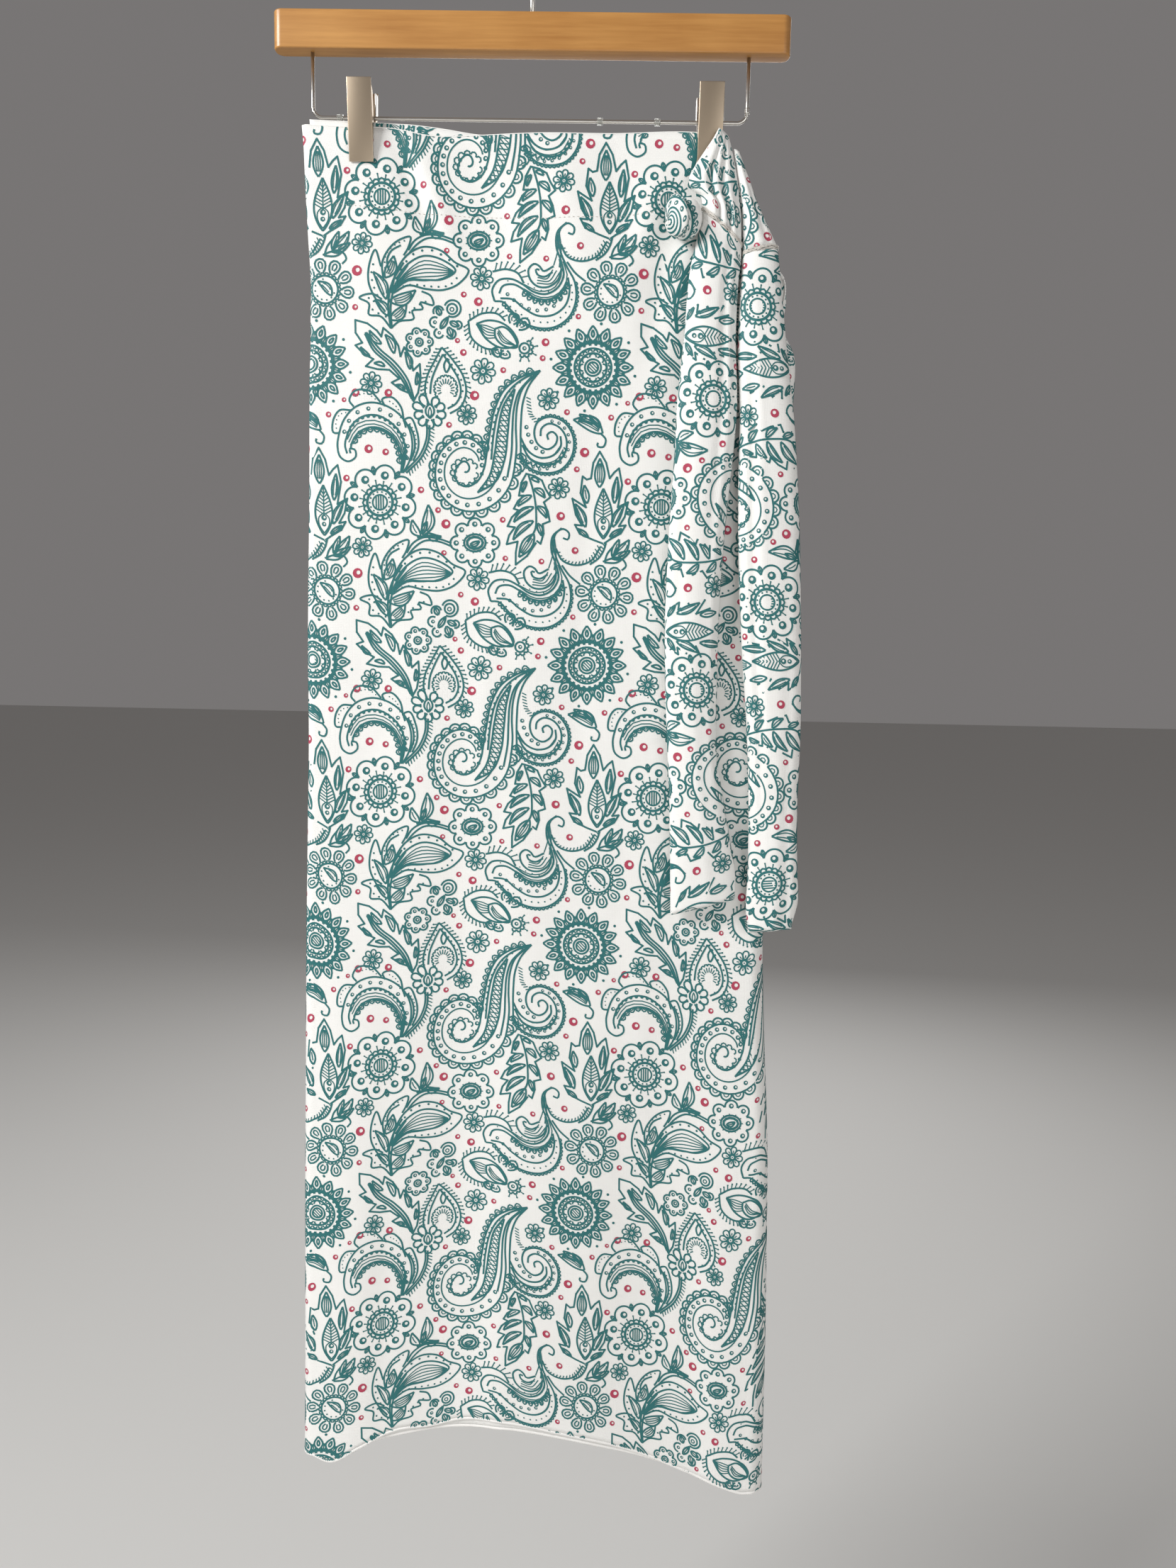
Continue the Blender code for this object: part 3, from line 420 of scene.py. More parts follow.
# Plain strokes of the repeat: points as x, y, x, y, smooth through them
STROKES = [
    # stems
    (640, 152, 636, 220, 604, 300, 520, 388),
    (652, 156, 648, 225, 612, 312, 528, 396),
    (1160, 410, 1186, 500, 1198, 600, 1190, 690, 1150, 745),
    (538, 1538, 500, 1440, 430, 1352, 356, 1286, 300, 1200),
    (546, 1538, 516, 1440, 446, 1346, 376, 1286, 306, 1200),
    (532, 1530, 484, 1436, 412, 1352, 342, 1290, 298, 1206),
    (96, 822, 112, 776, 142, 740),
    (96, 822, 160, 822, 206, 790),
    (762, 768, 690, 742, 622, 738, 566, 772, 528, 815),
    (758, 750, 690, 728, 612, 722, 556, 752, 524, 800),
    (20, 832, 66, 800, 92, 760, 104, 722),
    (1330, 865, 1370, 918, 1424, 962),
    (1300, 780, 1330, 838, 1400, 864, 1480, 842, 1532, 768),
    (580, 722, 612, 716, 650, 712, 706, 720),
    (88, 818, 140, 800, 190, 806, 208, 840, 186, 862),
    (1530, 200, 1556, 232, 1542, 268, 1512, 262, 1516, 246),
    # plume: outer edge, curl and lobes
    (512, 395, 548, 330, 562, 250, 545, 170, 500, 105, 430, 58, 350, 40, 272, 60, 210, 120,
     182, 190, 172, 250, 186, 306, 230, 330, 268, 306, 262, 272, 236, 268, 240, 290),
    (505, 395, 522, 330, 524, 262, 498, 192, 448, 138, 380, 104, 310, 108, 255, 145, 224, 200,
     212, 250, 222, 290),
    (500, 395, 506, 330, 492, 262, 452, 200, 396, 168, 335, 165, 280, 192, 248, 240, 240, 270),
    (565, 335, 592, 272, 586, 185, 548, 118, 524, 128, 530, 168),
    (552, 335, 574, 272, 568, 200, 545, 150),
    (520, 138, 504, 62, 452, 14, 410, 26, 424, 60),
    (404, 42, 345, -18, 262, -14, 240, 28, 262, 58),
    (246, 76, 190, 72, 150, 130, 154, 184, 184, 186),
    # long paisley: both sides of the body and its inner lines
    (1120, 300, 1122, 150, 1132, 50, 1160, -30, 1222, -112),
    (940, 330, 962, 200, 988, 80, 1040, -20, 1120, -78, 1222, -112),
    (968, 330, 982, 200, 1010, 80, 1060, -10, 1130, -68, 1216, -106),
    (1084, 400, 1098, 280, 1096, 150, 1104, 60, 1130, -20, 1200, -96),
    (1050, 420, 1072, 300, 1078, 180, 1086, 80, 1110, -2, 1180, -84),
    # lens of the long paisley
    (896, 496, 958, 412, 986, 300, 1004, 180, 1034, 60, 1090, -24),
    (896, 496, 990, 440, 1036, 335, 1054, 200, 1066, 90, 1092, -20),
    # side paisley
    (1120, 306, 1164, 372, 1236, 398, 1322, 384, 1384, 308, 1388, 214, 1340, 142, 1262, 118,
     1204, 148, 1190, 204, 1210, 256, 1258, 280, 1300, 252, 1306, 214, 1280, 192, 1256, 208,
     1262, 232),
    (1128, 258, 1170, 330, 1240, 358, 1312, 340, 1352, 284, 1350, 214, 1312, 166, 1262, 152,
     1226, 178, 1222, 214),
    (1120, 220, 1160, 290, 1220, 322, 1290, 308, 1326, 262, 1324, 214),
    # big composite leaf: outlines
    (436, 1010, 462, 905, 520, 822, 600, 782, 690, 800, 762, 858, 828, 894, 776, 962, 700, 992,
     610, 988, 520, 972, 446, 1010),
    (462, 940, 520, 868, 604, 826, 690, 842, 762, 898, 700, 938, 610, 944, 520, 944, 446, 990),
    (398, 950, 392, 860, 428, 792, 482, 748, 534, 734, 522, 790, 500, 826),
    (385, 880, 356, 798, 326, 868, 322, 960, 352, 1030, 404, 1100),
    (425, 900, 416, 850, 436, 806, 486, 776),
    (432, 1182, 378, 1122, 320, 1112, 322, 1060, 272, 1030, 340, 1012, 388, 1040),
    (432, 1182, 470, 1150, 550, 1130, 540, 1098, 596, 1084, 582, 1056, 650, 1066, 636, 1022,
     590, 1000),
    (430, 1180, 420, 1060, 440, 960, 500, 860),
    (436, 1180, 432, 1070, 456, 970, 520, 872),
    # wave paisley: outer, inner and middle lines, upper curl and small curl
    (960, 1048, 1002, 1052, 1044, 1094, 1100, 1150, 1184, 1184, 1272, 1178, 1342, 1128,
     1374, 1050, 1368, 962, 1330, 890, 1302, 830, 1288, 762, 1300, 702, 1336, 680, 1368, 704,
     1360, 734, 1336, 726),
    (960, 1048, 948, 992, 980, 946, 1044, 940, 1104, 968, 1160, 1006, 1222, 1018, 1280, 990,
     1312, 930, 1300, 862, 1276, 790, 1284, 716, 1330, 676),
    (984, 1010, 1000, 976, 1050, 966, 1110, 994, 1164, 1034, 1226, 1046, 1290, 1022, 1332, 962),
    (990, 1034, 1050, 1040, 1110, 1086, 1184, 1124, 1264, 1118, 1322, 1072, 1342, 1004,
     1334, 940),
    (1262, 884, 1206, 904, 1192, 884, 1164, 870, 1136, 892, 1140, 940, 1176, 978, 1232, 984,
     1284, 950, 1302, 896),
    (1256, 912, 1214, 934, 1176, 918, 1172, 896, 1190, 900),
    (950, 902, 1020, 892, 1080, 914, 1110, 962),
    # spiky bud
    (826, 1146, 842, 1228, 912, 1282, 980, 1290),
    (826, 1146, 900, 1108, 980, 1114, 1014, 1146),
    (868, 1160, 920, 1238, 1004, 1282, 1078, 1262, 1052, 1200, 990, 1154, 920, 1144, 868, 1160),
    (962, 1186, 1000, 1176, 1056, 1222, 1076, 1276, 1010, 1272, 962, 1220, 962, 1186),
    # spiked drop: both sides and the two inner drops
    (690, 1276, 652, 1344, 612, 1424, 602, 1496, 620, 1556),
    (690, 1276, 750, 1344, 800, 1424, 812, 1504, 784, 1570, 728, 1604),
    (696, 1310, 738, 1372, 776, 1440, 784, 1506, 760, 1554, 716, 1580),
    (696, 1310, 664, 1370, 636, 1440, 628, 1506),
    (716, 1330, 700, 1366, 712, 1400, 730, 1366, 716, 1330),
    # bud at the foot of the spiked drop
    (655, 122, 634, 96, 636, 70, 655, 52, 674, 70, 676, 96, 655, 122),
]
# Outlines with sharp tips: straight from point to point
JAGGED = [
    (71, 262, 104, 318, 122, 396, 146, 366, 170, 346, 186, 430, 164, 542, 217, 516, 200, 590,
     170, 638, 205, 633, 180, 674, 122, 706, 96, 724),
    (71, 262, 38, 318, 26, 396, 4, 402, -17, 386, -28, 470, 0, 542, -70, 498, -52, 580,
     -20, 634, -57, 630, -32, 676, 36, 706, 84, 724),
    (1148, 402, 1192, 414, 1228, 436, 1246, 478, 1272, 520, 1238, 546, 1258, 592, 1268, 642,
     1232, 656, 1236, 704, 1220, 756, 1202, 742),
    (1148, 402, 1122, 448, 1110, 512, 1136, 512, 1104, 540, 1083, 578, 1108, 586, 1072, 622,
     1050, 666, 1088, 672, 1058, 712, 1045, 758, 1102, 744, 1092, 800, 1091, 862, 1150, 818,
     1196, 752),
    (250, 1138, 312, 1156, 360, 1192, 382, 1222, 393, 1180, 438, 1218, 468, 1268, 478, 1320,
     498, 1275, 530, 1326, 542, 1390, 577, 1358, 580, 1430, 566, 1500, 542, 1542),
    (250, 1138, 250, 1200, 284, 1250, 248, 1262, 292, 1306, 340, 1332, 300, 1366, 360, 1382,
     420, 1386, 470, 1430, 431, 1449, 476, 1484, 520, 1502, 542, 1542),
]
# Hatched areas: two edges, how many strokes between them
HATCHES = [
    ((460, 968, 520, 900, 600, 850, 690, 866, 752, 900), (450, 1000, 520, 950, 610, 948,
     690, 936, 752, 906), 6),
    ((512, 380, 520, 300, 490, 210, 430, 150, 350, 128, 270, 150, 224, 220), (506, 386,
     508, 310, 470, 226, 410, 178, 340, 164, 282, 184, 240, 250), 3),
    ((1128, 262, 1176, 330, 1240, 350, 1306, 330, 1338, 280), (1122, 226, 1170, 296, 1226, 326,
     1290, 306, 1324, 262), 2),
    ((1290, 850, 1300, 930, 1262, 990, 1190, 1004, 1110, 968), (1310, 862, 1330, 940,
     1280, 1020, 1196, 1034, 1110, 990), 2),
    ((1280, 730, 1284, 800, 1262, 880), (1292, 730, 1300, 800, 1290, 890), 2),
    ((1258, 900, 1226, 944, 1180, 936), (1296, 910, 1250, 966, 1176, 964), 3),
    ((980, 1190, 1010, 1230, 1064, 1268), (974, 1206, 1000, 1250, 1056, 1268), 3),
    ((876, 1164, 920, 1170, 960, 1186), (880, 1172, 920, 1230, 968, 1230), 5),
]
# Rows on a line: what is repeated, the line, how many, size, side (1 left of its run, -1 right)
ROWS_ON_LINES = [
    ("ticks", (656, 160, 652, 225, 616, 312, 536, 392), 15, -22, 1),
    ("ticks", (1300, 790, 1332, 842, 1400, 862, 1480, 838, 1528, 770), 15, -16, 1),
    ("ticks", (22, 832, 66, 800, 100, 730), 8, -16, 1),
    ("ticks", (1150, 12, 1152, 60, 1162, 110, 1194, 150), 9, -22, 1),
    ("pins", (950, 902, 1020, 892, 1080, 914, 1104, 944), 7, -34, 1),
    ("pins", (826, 1150, 842, 1228, 912, 1282, 960, 1290), 11, 24, 1),
    ("pins", (826, 1146, 900, 1108, 980, 1114, 1006, 1136), 9, -24, 1),
    ("pins", (688, 1276, 650, 1344, 610, 1424, 600, 1510), 13, 20, 1),
    ("pins", (692, 1276, 752, 1344, 802, 1424, 812, 1504, 770, 1578), 16, -20, 1),
    ("rings", (528, 350, 538, 270, 510, 180, 460, 112, 380, 72, 300, 78, 228, 138, 200, 210),
     10, 9, 0),
    ("rings", (1010, 1000, 1080, 1060, 1160, 1096, 1250, 1084, 1310, 1030), 8, 8, 0),
    ("rings", (1146, 150, 1160, 210, 1206, 280, 1250, 300), 5, 9, 0),
    ("rings", (1140, 330, 1200, 376, 1290, 366, 1356, 300, 1366, 214, 1318, 150, 1262, 136), 13,
     7, 0),
    ("dots", (970, 300, 976, 200, 1000, 90, 1060, -6, 1130, -66), 12, 7, 0),
    ("dots", (1000, 1042, 1080, 1106, 1180, 1154, 1270, 1148, 1330, 1100, 1354, 1040,
     1350, 960), 15, 5, 0),
    ("dots", (1290, 850, 1310, 950, 1250, 1004, 1170, 990, 1100, 950, 1010, 950), 12, 4, 0),
    ("dots", (450, 960, 500, 872, 560, 812, 640, 798, 720, 838, 790, 890), 9, 7, 0),
    ("dots", (780, 920, 730, 968, 640, 976, 540, 968, 480, 980), 9, 6, 0),
    ("dots", (404, 900, 412, 820, 460, 772, 516, 750), 8, 5, 0),
    ("dots", (350, 850, 336, 920, 352, 990, 392, 1070), 6, 6, 0),
    ("dots", (300, 1030, 345, 1040, 340, 1090, 400, 1120, 448, 1164), 6, 6, 0),
    ("dots", (460, 1150, 520, 1110, 570, 1070, 625, 1045), 6, 6, 0),
    ("dots", (562, 320, 582, 262, 574, 190, 546, 140), 9, 4, 0),
    ("dots", (506, 128, 488, 70, 440, 30), 6, 4, 0),
    ("dots", (384, 30, 330, -4, 262, 8), 6, 4, 0),
    ("dots", (230, 84, 186, 96, 166, 140, 170, 172), 6, 4, 0),
    ("dots", (700, 1300, 764, 1400, 796, 1460, 780, 1530, 730, 1570), 11, 6, 0),
    ("dots", (684, 1306, 640, 1390, 612, 1460, 606, 1520), 8, 5, 0),
    ("loops", (1104, 400, 1126, 300, 1130, 330), 3, 30, -1),
    ("loops", (936, 320, 950, 250, 962, 190, 976, 120, 1000, 40, 1040, -28, 1100, -72,
     1190, -106), 13, 26, 1),
    ("loops", (1120, 306, 1164, 372, 1236, 398, 1322, 384, 1384, 308, 1388, 214, 1340, 142,
     1262, 118, 1210, 142), 34, 13, -1),
    ("loops", (1150, 330, 1200, 352, 1262, 352, 1316, 322, 1340, 270), 9, 18, -1),
    ("loops", (1004, 1054, 1044, 1094, 1100, 1150, 1184, 1184, 1272, 1178, 1342, 1128,
     1374, 1050, 1368, 962), 28, 13, -1),
    ("loops", (1110, 996, 1164, 1036, 1226, 1048, 1290, 1024, 1330, 964), 9, 26, -1),
    ("loops", (520, 330, 516, 262, 488, 196, 440, 146, 376, 116, 314, 120, 262, 152, 232, 204),
     16, 15, -1),
    ("loops", (503, 350, 492, 262, 452, 200, 396, 168, 335, 165, 280, 192, 248, 240), 11, 22,
     1),
]
# Coil of the long paisley: centre, and radii every 45 degrees from the right, clockwise
COIL_CENTRE = (830, 382)
COIL_RADII = [256, 232, 206, 174, 151, 154, 164, 140, 98, 86, 82, 64, 46, 40, 44, 32, 22, 14, 7]


def linear(code):
    """An sRGB hex colour as linear values."""
    values = [int(code[i:i + 2], 16) / 255.0 for i in (1, 3, 5)]
    return tuple(v / 12.92 if v <= 0.04045 else ((v + 0.055) / 1.055) ** 2.4 for v in values)


def colour(name, description, code):
    """A colour setting, from its sRGB hex value."""
    return FloatVectorProperty(name=name, description=description, default=linear(code), size=3,
                               subtype="COLOR", min=0.0, max=1.0)


class ClothSettings(bpy.types.PropertyGroup):
    """Sizes and colours of the cloth."""

    ground: colour("Ground", "Colour of the unprinted cloth", "#F4F3EF")
    wrong_side: colour("Wrong side", "Colour of the cloth's inner side", "#EFEDE9")
    ink: colour("Ink", "Colour of the leaves, flowers and paisleys", "#266E6F")
    accent: colour("Accent", "Colour of the small rings between the motifs", "#B43F58")
    thread: colour("Thread", "Colour of the overlock and seam threads", "#F4F2EE")
    thickness: FloatProperty(
        name="Thickness", description="Thickness of the jersey",
        default=0.0009, unit="LENGTH", min=0.0003, max=0.0012)


class HangerSettings(bpy.types.PropertyGroup):
    """Colours of the hanger."""

    wood: colour("Wood", "Colour of the lacquered bar", "#C89250")
    wood_dark: colour("Late wood", "Colour of the darker grain lines", "#AA7438")
    nickel: colour("Nickel", "Colour of the clip plates", "#BFAE98")
    steel: colour("Steel", "Colour of the wire", "#D6D2CB")


class StageSettings(bpy.types.PropertyGroup):
    """Floor, light and air."""

    floor_level: FloatProperty(
        name="Floor level", description="Height of the floor below the hook",
        default=-1.55, unit="LENGTH")
    floor: colour("Floor", "Colour of the floor", "#D2D1CE")
    air: colour("Air", "Colour of the light from all round", "#C1BDBC")
    air_strength: FloatProperty(
        name="Air strength", description="Strength of the light from all round",
        default=0.35, min=0.0, max=5.0)


def smooth_read(knots, values, at):
    """Read values between their knots, on a smooth curve through them."""
    knots = np.asarray(knots, float)
    values = np.asarray(values, float)
    at = np.clip(at, knots[0], knots[-1])
    slopes = np.gradient(values, knots)
    left = np.clip(np.searchsorted(knots, at, side="right") - 1, 0, len(knots) - 2)
    step = knots[left + 1] - knots[left]
    t = (at - knots[left]) / step
    start = (1.0 + 2.0 * t) * (1.0 - t) ** 2 * values[left]
    end = t * t * (3.0 - 2.0 * t) * values[left + 1]
    lean = t * (1.0 - t) ** 2 * slopes[left] - t * t * (1.0 - t) * slopes[left + 1]
    return start + end + step * lean


def profile(column, level):
    """One column of the side folds' table at a level."""
    return smooth_read(-PROFILE[:, LEVEL], PROFILE[:, column], -level)


def line_at(line, place):
    """A waist or hem line's level at a place across the skirt."""
    return smooth_read([p[0] for p in line], [p[1] for p in line], place)


def fold_height(folds, place, level):
    """Sum of the soft folds at a place, each a smooth ridge that fades at its two ends."""
    total = np.zeros(np.broadcast(place, level).shape)
    for top, foot, first, last, half_width, height in folds:
        along = np.clip((level - first) / (last - first), 0.0, 1.0)
        aside = (place - (top + (foot - top) * along)) / half_width
        if last < LEVEL_HEM:
            fade = np.sin(0.5 * np.pi * np.minimum(1.0, FREE_FOLD_RISE * along))
        else:
            fade = np.sin(np.pi * along)
        total += height * fade * np.exp(-aside * aside)
    return total


def fold_centres(level):
    """Places of the centres of the two side folds at a level."""
    left = profile(LEFT_EDGE, level) + profile(HOLLOW_LEFT, level) + OUTSIDE
    right = profile(RIGHT_EDGE, level) - profile(HOLLOW_RIGHT, level) - OUTSIDE
    return left, right


def ring(station, offset, level):
    """Place and depth of points round the folded skirt, an offset outside the inner hollow."""
    hollow_left = profile(HOLLOW_LEFT, level)
    hollow_middle = profile(HOLLOW_MIDDLE, level)
    hollow_right = profile(HOLLOW_RIGHT, level)
    left_centre, right_centre = fold_centres(level)
    station = np.mod(station, 4.0)
    stretch = np.floor(station)
    part = station - stretch
    share = np.where(stretch == 0, part, 1.0 - part)
    flat_place = left_centre + (right_centre - left_centre) * share
    swell = np.abs(np.sin(np.pi * share)) ** SWELL
    end = np.where(share < 0.5, hollow_left, hollow_right)
    flat_depth = end + (hollow_middle - end) * swell + offset
    front_depth = -(flat_depth + fold_height(FRONT_FOLDS, flat_place, level))
    back_depth = flat_depth + fold_height(BACK_FOLDS, flat_place, level)
    side = np.where(stretch == 1, 1.0, -1.0)
    centre = np.where(stretch == 1, right_centre, left_centre)
    radius = np.where(stretch == 1, hollow_right, hollow_left) + offset
    angle = np.pi * (part - 0.5)
    round_place = centre + side * radius * np.cos(angle)
    lift = 0.5 * (1.0 - side * np.sin(angle)) * fold_height(FRONT_FOLDS, centre, level)
    drop = 0.5 * (1.0 + side * np.sin(angle)) * fold_height(BACK_FOLDS, centre, level)
    round_depth = side * radius * np.sin(angle) - lift + drop
    flat = (stretch == 0) | (stretch == 2)
    place = np.where(flat, flat_place, round_place)
    depth = np.where(flat, np.where(stretch == 0, front_depth, back_depth), round_depth)
    return place, depth - fold_height(SHARED_FOLDS, place, level)


def stations_between(first, last):
    """Stations of a panel's columns, closer together round the side folds."""
    steps = {0: FLAT_STEP / 340.0, 1: ROUND_STEP / 34.0, 2: FLAT_STEP / 340.0, 3: ROUND_STEP / 20.0}
    found = []
    start = first
    while start < last - 1e-6:
        stop = min(math.floor(start + 1e-6) + 1.0, last)
        count = max(2, round((stop - start) / steps[math.floor(start + 1e-6) % 4]))
        found += list(np.linspace(start, stop, count, endpoint=False))
        start = stop
    return np.array(found + [last])


class Panel:
    """A panel of the skirt: its span of stations, offset, waist and hem."""

    def __init__(self, name, span, seams=(None, None)):
        self.name = name
        self.span = span
        self.seams = seams

    def offset(self, station):
        """How far the panel's outer face is outside the inner hollow."""
        if self.name == "front":
            return np.full(np.shape(station), OUTSIDE)
        if self.name == "under":
            return np.full(np.shape(station), WALL)
        blend = np.clip((station - BACK_BLEND_FROM) / BACK_BLEND, 0.0, 1.0)
        return WALL + (OUTSIDE - WALL) * blend * blend * (3.0 - 2.0 * blend)

    def points(self, stations, shares):
        """Points of the outer face, a row for each share of the way from waist to hem."""
        level = (LEVEL_TOP + (LEVEL_HEM - LEVEL_TOP) * shares)[:, None]
        station = np.repeat(stations[None, :], len(shares), axis=0)
        offset = self.offset(station)
        first, last = self.span
        if self.seams[0]:
            radius = profile(self.seams[0], level) + offset[:, :1]
            stop = math.ceil(first)
            squeeze = 1.0 - SEAM_GAP / (np.pi * radius) / (stop - first)
            station = np.where(station < stop, stop - (stop - station) * squeeze, station)
        if self.seams[1]:
            radius = profile(self.seams[1], level) + offset[:, -1:]
            start = math.floor(last)
            squeeze = 1.0 - SEAM_GAP / (np.pi * radius) / (last - start)
            station = np.where(station > start, start + (station - start) * squeeze, station)
        place, depth = ring(station, offset, level)
        left, right = fold_centres(level)
        inside = np.clip(place, left, right)
        top = line_at(WAIST[self.name], inside)
        foot = line_at(HEM[self.name], inside)
        return np.stack([place, depth, top + (foot - top) * shares[:, None]], axis=-1)

    def face(self, shares=ROW_SHARES):
        """Points of the outer face from its first to its last station."""
        return self.points(stations_between(*self.span), shares)


PANELS = {
    "front": Panel("front", FRONT_SPAN),
    "under": Panel("under", UNDER_SPAN, (None, HOLLOW_RIGHT)),
    "back": Panel("back", BACK_SPAN, (HOLLOW_RIGHT, HOLLOW_LEFT)),
}


def flat_distance(points, axis):
    """Distance along the rows or down the columns of a grid of points."""
    steps = np.linalg.norm(np.diff(points, axis=axis), axis=-1)
    start = np.zeros_like(np.take(steps, [0], axis=axis))
    return np.concatenate([start, np.cumsum(steps, axis=axis)], axis=axis)


def new_piece(name, points, faces, *finishes, smooth=True):
    """An object from points in millimetres and their faces."""
    mesh = bpy.data.meshes.new(name)
    mesh.from_pydata(np.asarray(points) * MM, [], faces)
    if smooth:
        mesh.shade_smooth()
    for material in finishes:
        mesh.materials.append(material)
    made = bpy.data.objects.new(name, mesh)
    bpy.context.collection.objects.link(made)
    return made


def grid_piece(name, points, *finishes):
    """An object from a grid of points, with a map of its flat cloth."""
    rows, columns = points.shape[:2]
    index = np.arange(rows * columns).reshape(rows, columns)
    faces = np.stack([index[:-1, :-1], index[1:, :-1], index[1:, 1:], index[:-1, 1:]], axis=-1)
    faces = faces.reshape(-1, 4)
    made = new_piece(name, points.reshape(-1, 3), faces.tolist(), *finishes)
    across = flat_distance(points, 1)
    across -= across[:, columns // 2:columns // 2 + 1]
    flat = np.stack([across, -points[..., 2]], axis=-1).reshape(-1, 2) * MM
    layer = made.data.uv_layers.new(name="cloth")
    layer.data.foreach_set("uv", flat[faces.reshape(-1)].astype(np.float32).ravel())
    return made


def select_only(*pieces):
    """Select these objects and nothing else, with the first one active."""
    bpy.ops.object.select_all(action="DESELECT")
    for piece in pieces:
        piece.select_set(True)
    if pieces:
        bpy.context.view_layer.objects.active = pieces[0]


def apply_modifiers(made):
    """Apply all of an object's modifiers, as by hand."""
    select_only(made)
    for step in list(made.modifiers):
        bpy.ops.object.modifier_apply(modifier=step.name)


def thicken(made, thickness):
    """Give a cloth its wall, inwards from its outer face, with its wrong side inside."""
    wall = made.modifiers.new("Wall", "SOLIDIFY")
    wall.thickness = thickness
    wall.offset = -1.0
    wall.material_offset = 1
    wall.material_offset_rim = 1
    apply_modifiers(made)


def place_piece(made, slot, *nodes):
    """Let a finished piece ride on the part and stand for its nodes; the slot is not used."""
    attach(made, BODY)
    if nodes:
        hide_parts(*nodes)


def add_node(tree, kind, settings=None, inputs=None):
    """Add a node with its settings; an input is a value or the socket that feeds it."""
    made = tree.nodes.new("ShaderNode" + kind)
    for key, value in (settings or {}).items():
        setattr(made, key, value)
    for key, value in (inputs or {}).items():
        if isinstance(value, bpy.types.NodeSocket):
            tree.links.new(value, made.inputs[key])
        else:
            made.inputs[key].default_value = value
    return made


def new_material(name):
    """A material whose tree holds only its output."""
    made = bpy.data.materials.new(name)
    made.use_nodes = True
    made.node_tree.nodes.clear()
    return made, made.node_tree


def jersey(name, colour, sheen):
    """Brushed polyester jersey, knitted and heat printed: soft, matt, a faint satin bloom."""
    made, tree = new_material(name)
    flat = add_node(tree, "UVMap", {"uv_map": "cloth"})
    # wales 0.9 mm apart, drawn at 1.2 mm so that they show
    wales = add_node(tree, "TexWave", {"bands_direction": "X", "wave_profile": "SIN"},
                     {"Vector": flat.outputs["UV"], "Scale": 262.0, "Distortion": 0.6,
                      "Detail": 1.0})
    courses = add_node(tree, "TexWave", {"bands_direction": "Y", "wave_profile": "SIN"},
                       {"Vector": flat.outputs["UV"], "Scale": 262.0, "Distortion": 0.6})
    knit = add_node(tree, "Math", {"operation": "ADD"},
                    {0: wales.outputs["Fac"], 1: courses.outputs["Fac"]})
    # pressing marks and handling, 20 to 60 mm across
    spots = add_node(tree, "TexNoise", {},
                     {"Vector": flat.outputs["UV"], "Scale": 22.0, "Detail": 3.0})
    shade = add_node(tree, "Mix", {"data_type": "RGBA", "blend_type": "MIX"},
                     {"Factor": spots.outputs["Fac"], "A": (*[c * 0.94 for c in colour], 1.0),
                      "B": (*colour, 1.0)})
    bump = add_node(tree, "Bump", {}, {"Height": knit.outputs[0], "Strength": 0.25,
                                                 "Distance": 0.0002})
    crumple = add_node(tree, "TexNoise", {},
                       {"Vector": flat.outputs["UV"], "Scale": 38.0, "Detail": 2.0})
    wide = add_node(tree, "Bump", {},
                    {"Height": crumple.outputs["Fac"], "Strength": 0.35, "Distance": 0.0012,
                     "Normal": bump.outputs["Normal"]})
    shader = add_node(tree, "BsdfPrincipled", {},
                      {"Base Color": shade.outputs["Result"], "Roughness": 0.62,
                       "IOR": 1.46, "Sheen Weight": sheen, "Sheen Roughness": 0.45,
                       "Normal": wide.outputs["Normal"]})
    add_node(tree, "OutputMaterial", {}, {"Surface": shader.outputs["BSDF"]})
    return made


def plain_surface(name, colour, roughness, metallic=0.0, grain=0.0, grain_scale=400.0):
    """A material of one colour whose roughness and relief vary with a fine grain."""
    made, tree = new_material(name)
    place = add_node(tree, "TexCoord")
    noise = add_node(tree, "TexNoise", {},
                     {"Vector": place.outputs["Object"], "Scale": grain_scale, "Detail": 3.0})
    rough = add_node(tree, "MapRange", {},
                     {"Value": noise.outputs["Fac"], "To Min": roughness * 0.85,
                      "To Max": roughness * 1.15})
    bump = add_node(tree, "Bump", {}, {"Height": noise.outputs["Fac"],
                                                 "Strength": grain, "Distance": 0.0002})
    shader = add_node(tree, "BsdfPrincipled", {},
                      {"Base Color": (*colour, 1.0), "Roughness": rough.outputs["Result"],
                       "Metallic": metallic, "Normal": bump.outputs["Normal"]})
    add_node(tree, "OutputMaterial", {}, {"Surface": shader.outputs["BSDF"]})
    return made


